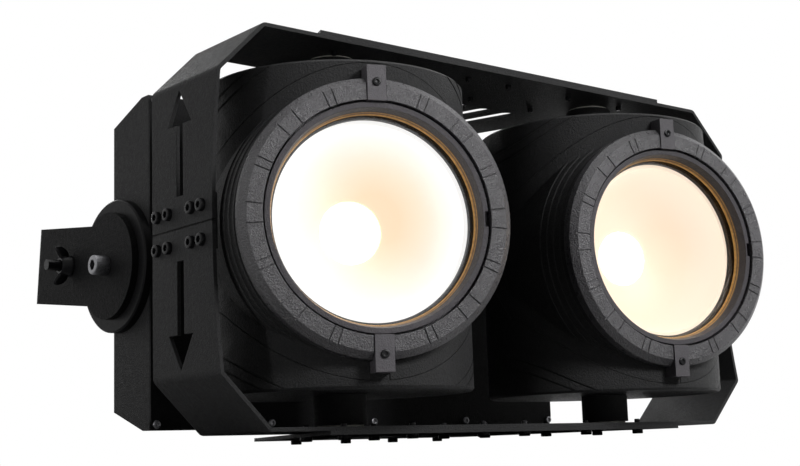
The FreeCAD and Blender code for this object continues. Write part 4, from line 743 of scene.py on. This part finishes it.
def islands(node):
    """Point sets of the separate solids of a node. Corners at one place get one number, and each triangle passes its
    smallest label to its corners until nothing changes."""
    points = node_points(node)
    mesh = frame["nodes"][node].data
    corners = np.empty(len(mesh.loops), np.int32)
    mesh.loops.foreach_get("vertex_index", corners)
    places, number = np.unique(points.round(6), axis=0, return_inverse=True)
    triangles = number.ravel()[corners].reshape(-1, 3)
    labels = np.arange(len(places))
    while True:
        least = labels[triangles].min(1)
        spread = labels.copy()
        np.minimum.at(spread, triangles.ravel(), np.repeat(least, 3))
        if (spread == labels).all():
            break
        labels = spread
    return [places[labels == label] for label in np.unique(labels)]


def measure_screw(points, axis):
    """Centre line, way it points, seat, top and tip along the axis, head and shank radius."""
    axis = np.asarray(axis, float)
    along = points @ axis
    flat = points - np.outer(along, axis)
    centre = (flat.min(0) + flat.max(0)) / 2
    radius = np.linalg.norm(flat - centre, axis=1)
    head = along[radius > radius.max() * HEAD_SHARE]
    way = 1.0 if head.mean() > (along.min() + along.max()) / 2 else -1.0
    seat, top = sorted((head.min(), head.max()), reverse=way < 0)
    tip = along.min() if way > 0 else along.max()
    shank = radius[np.abs(along - tip) < SAME_HEIGHT].max()
    return centre, axis * way, seat * way, top * way, tip * way, radius.max(), shank


# %% [markdown]
# ## Heads and sockets
# A screw is one profile: tip, shank, seat, rim, then down into the socket. The rows of the socket's
# wall are round circles times a factor of the angle that makes them a hexagon, and a knurled cap's
# wall gets fine teeth in the same way. That keeps every screw a single closed surface.

# %% Screws
PLAIN_STEPS, KNURLED_STEPS = 24, 144


def hexagon(angle):
    """Factor that turns a circle into a hexagon: cos 30 / cos(angle mod 60 - 30)."""
    return np.cos(np.pi / 6) / np.cos(angle % (np.pi / 3) - np.pi / 6)


def knurl(angle):
    """Fine teeth round a cap: 1 + 0.02 cos 36 t."""
    return 1 + 0.02 * np.cos(36 * angle)


def socket_screw(points, axis, knurled):
    """Screw with a rounded rim and a hexagon socket, over the measured one."""
    centre, way, seat, top, tip, head, shank = measure_screw(points, axis)
    rim = min(head * 0.16, (top - seat) * 0.35)
    key = head * 0.55
    deep = top - (top - seat) * 0.62
    rows = [(0, tip), (shank * 0.8, tip), (shank, tip + shank * 0.3), (shank, seat), (head, seat), (head, top - rim),
            (head - rim * 0.3, top - rim * 0.3), (head - rim, top), (key * 1.12, top), (key, top - rim * 0.3),
            (key, deep), (0, deep - key * 0.15)]
    socket_rows, cap_rows = (8, 9, 10), (4, 5)
    outline = dict.fromkeys(socket_rows, hexagon)
    if knurled:
        outline |= dict.fromkeys(cap_rows, knurl)
    return skin(turned(rows, centre, way, KNURLED_STEPS if knurled else PLAIN_STEPS, outline))


for node, axis, body, knurled, finish in (
    ("splice_screws", (1, 0, 0), "frame", False, "black_screw"),
    ("link_screws", (0, 0, 1), "frame", False, "black_screw"),
    ("box_screws", (0, 0, 1), "frame", False, "black_screw"),
    ("cover_screws", (0, 1, 0), "frame", False, "worn_zinc"),
    ("pivot_screws", (1, 0, 0), "frame", True, "worn_zinc"),
    ("pod_left_clip_screws", PODS["pod_left"][1], "pod_left", False, "black_screw"),
    ("pod_right_clip_screws", PODS["pod_right"][1], "pod_right", False, "black_screw"),
):
    shells = [socket_screw(points, axis, knurled) for points in islands(node)]
    make_piece(node.replace("screws", "socket_screws"), shells, FINISHES[finish], body, [node])

# %% [markdown]
# ## Lands beyond the clips
# The shoulder is slotted for each clip. Beyond the clip's end the moulding fills that slot with a
# land a little below the curved surface. It could be cut from the shell, but only its flat top shows
# between the walls of the slot, so it is a block that is measured from clip and bell.

# %% Lands
DRUM_RADIUS = 0.0862
LAND_HALF_WIDTH = 0.0062
OVER_CLIP, OVER_BELL = 0.0001, 0.0005


def block(centre, edges):
    """Box about a centre from three half edges, as six quads of their own corners."""
    signs = np.array([(x, y, z) for x in (-1, 1) for y in (-1, 1) for z in (-1, 1)])
    corners = centre + signs @ np.array(edges)
    return corners, np.array([(0, 1, 3, 2), (4, 6, 7, 5), (0, 4, 5, 1), (2, 3, 7, 6), (0, 2, 6, 4), (1, 5, 7, 3)])


for name, (pivot, forward) in PODS.items():
    rear = extent(name + "_clips", pivot, forward)[0]
    low = (node_points(name + "_clips") - pivot)[:, 2].max() + OVER_CLIP
    high = (node_points(name + "_bell") - pivot)[:, 2].max() + OVER_BELL
    side = np.array([forward[1], -forward[0], 0.0])
    edges = [side * LAND_HALF_WIDTH, forward * (DRUM_RADIUS - rear) / 2, (0, 0, (high - low) / 2)]
    middle = pivot + forward * (DRUM_RADIUS + rear) / 2
    lands = [block(middle + np.array([0, 0, way * (high + low) / 2]), edges) for way in (-1, 1)]
    make_piece(name + "_clip_lands", lands, FINISHES["pod_plastic"], name)

# %% [markdown]
# ## Wing nuts
# A wing nut is a turned hub with two ears. An ear is a rounded plate whose middle line leaves the hub,
# bends outwards and ends in a round tip. A flat plate with rounded corners would look cut from sheet,
# so it is a section carried along a curve.

# %% Wing nuts
EAR_LEAN = math.radians(6.9)
# (radius, height) rows of the hub, from the thread outwards and back
HUB = [(0.00406, 0.0), (0.0080, 0.0), (0.0080, 0.0012), (0.0074, 0.0024), (0.0066, 0.0072), (0.0058, 0.0085),
       (0.0046, 0.0085), (0.00406, 0.0079), (0.00406, 0.0)]


def ear(centre, way, spread, thin):
    """Ear of a wing nut. At share u of its length the middle is 5.2 + 9.6 u^0.9 mm out and 5.0 + 5.2 u^1.4 mm up. The
    section is a flattened oval with half widths of 3.6 + 1.2 sin(pi u) and 1.8 - 0.5 u mm, which close at the tip by
    sqrt(1 - s^2.6), with s running over the last 45 %."""
    share = np.linspace(0, 1, 18)[:, None]
    turn = np.linspace(0, 2 * np.pi, 20, endpoint=False)[None, :]
    out = 0.0052 + 0.0096 * share ** 0.9
    rise = 0.0050 + 0.0052 * share ** 1.4
    close = np.sqrt(np.clip(1 - np.clip((share - 0.55) / 0.45, 0, 1) ** 2.6, 0, 1))
    width = (0.0036 + 0.0012 * np.sin(share * np.pi)) * close
    depth = (0.0018 - 0.0005 * share) * close
    across_ear = width * np.sign(np.cos(turn)) * np.abs(np.cos(turn)) ** 0.8
    through = depth * np.sin(turn)
    points = centre + out[..., None] * spread + (rise + across_ear)[..., None] * way + through[..., None] * thin
    points[:1] = points[:1].mean(1, keepdims=True)
    return skin(points)


spread = np.array([0.0, -math.sin(EAR_LEAN), math.cos(EAR_LEAN)])
for side, sign in (("left", -1.0), ("right", 1.0)):
    node = f"wing_nut_{side}"
    low, high = (np.array(corner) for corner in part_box(node))
    centre = (low + high) / 2
    centre[0] = high[0] if sign < 0 else low[0]
    way = np.array([sign, 0.0, 0.0])
    thin = np.cross(way, spread)
    shells = [skin(turned(HUB, centre, way, 48)), ear(centre, way, spread, thin), ear(centre, way, -spread, thin)]
    make_piece(f"winged_nut_{side}", shells, FINISHES["black_screw"], node, [node], 40)

# %% [markdown]
# ## Contacts in the sockets
# A panel socket that is looked into should not be empty. Power has three flat blades and data has
# five round pins, standing on the floor of the bore. Both are the same turned pin, and a factor of
# the angle flattens it to a blade.

# %% Contacts
BORE_DEPTH = 0.014
PIN_ROOT, PIN_SHOULDER, PIN_TOP = -0.0005, 0.0076, 0.0084


def blade(angle):
    """Factor that flattens a circle to a thin blade: 1 / sqrt(cos^2 + (sin / 0.22)^2)."""
    return 1 / np.sqrt(np.cos(angle) ** 2 + (np.sin(angle) / 0.22) ** 2)


def contacts(node, count, first, ring, radius, outline):
    """Pins on a ring about a socket's centre line, the first of them at an angle in degrees."""
    low, high = (np.array(corner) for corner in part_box(node))
    middle = (low + high) / 2
    floor_at = np.array([middle[0], high[1] - BORE_DEPTH, middle[2]])
    rows = [(0, PIN_ROOT), (radius, PIN_ROOT), (radius, PIN_SHOULDER), (radius * 0.6, PIN_TOP), (0, PIN_TOP)]
    turns = np.radians(first + 360 / count * np.arange(count))
    places = [floor_at + ring * np.array([math.cos(turn), 0, math.sin(turn)]) for turn in turns]
    return [skin(turned(rows, place, (0, 1, 0), 16, outline)) for place in places]


brass = metal_finish("contact_brass", (0.83, 0.62, 0.28), 0.25, (1.0, 1.0, 1.0))
# count, first angle, radius of the ring, radius of a pin, factors of its rows
BLADES = (3, 90, 0.0042, 0.0021, dict.fromkeys((1, 2, 3), blade))
PINS = (5, 18, 0.0046, 0.0008, ())
for node, kind in (("power_inlet", BLADES), ("power_outlet", BLADES), ("data_input", PINS), ("data_output", PINS)):
    make_piece(node + "_contacts", contacts(node, *kind), brass, "frame")
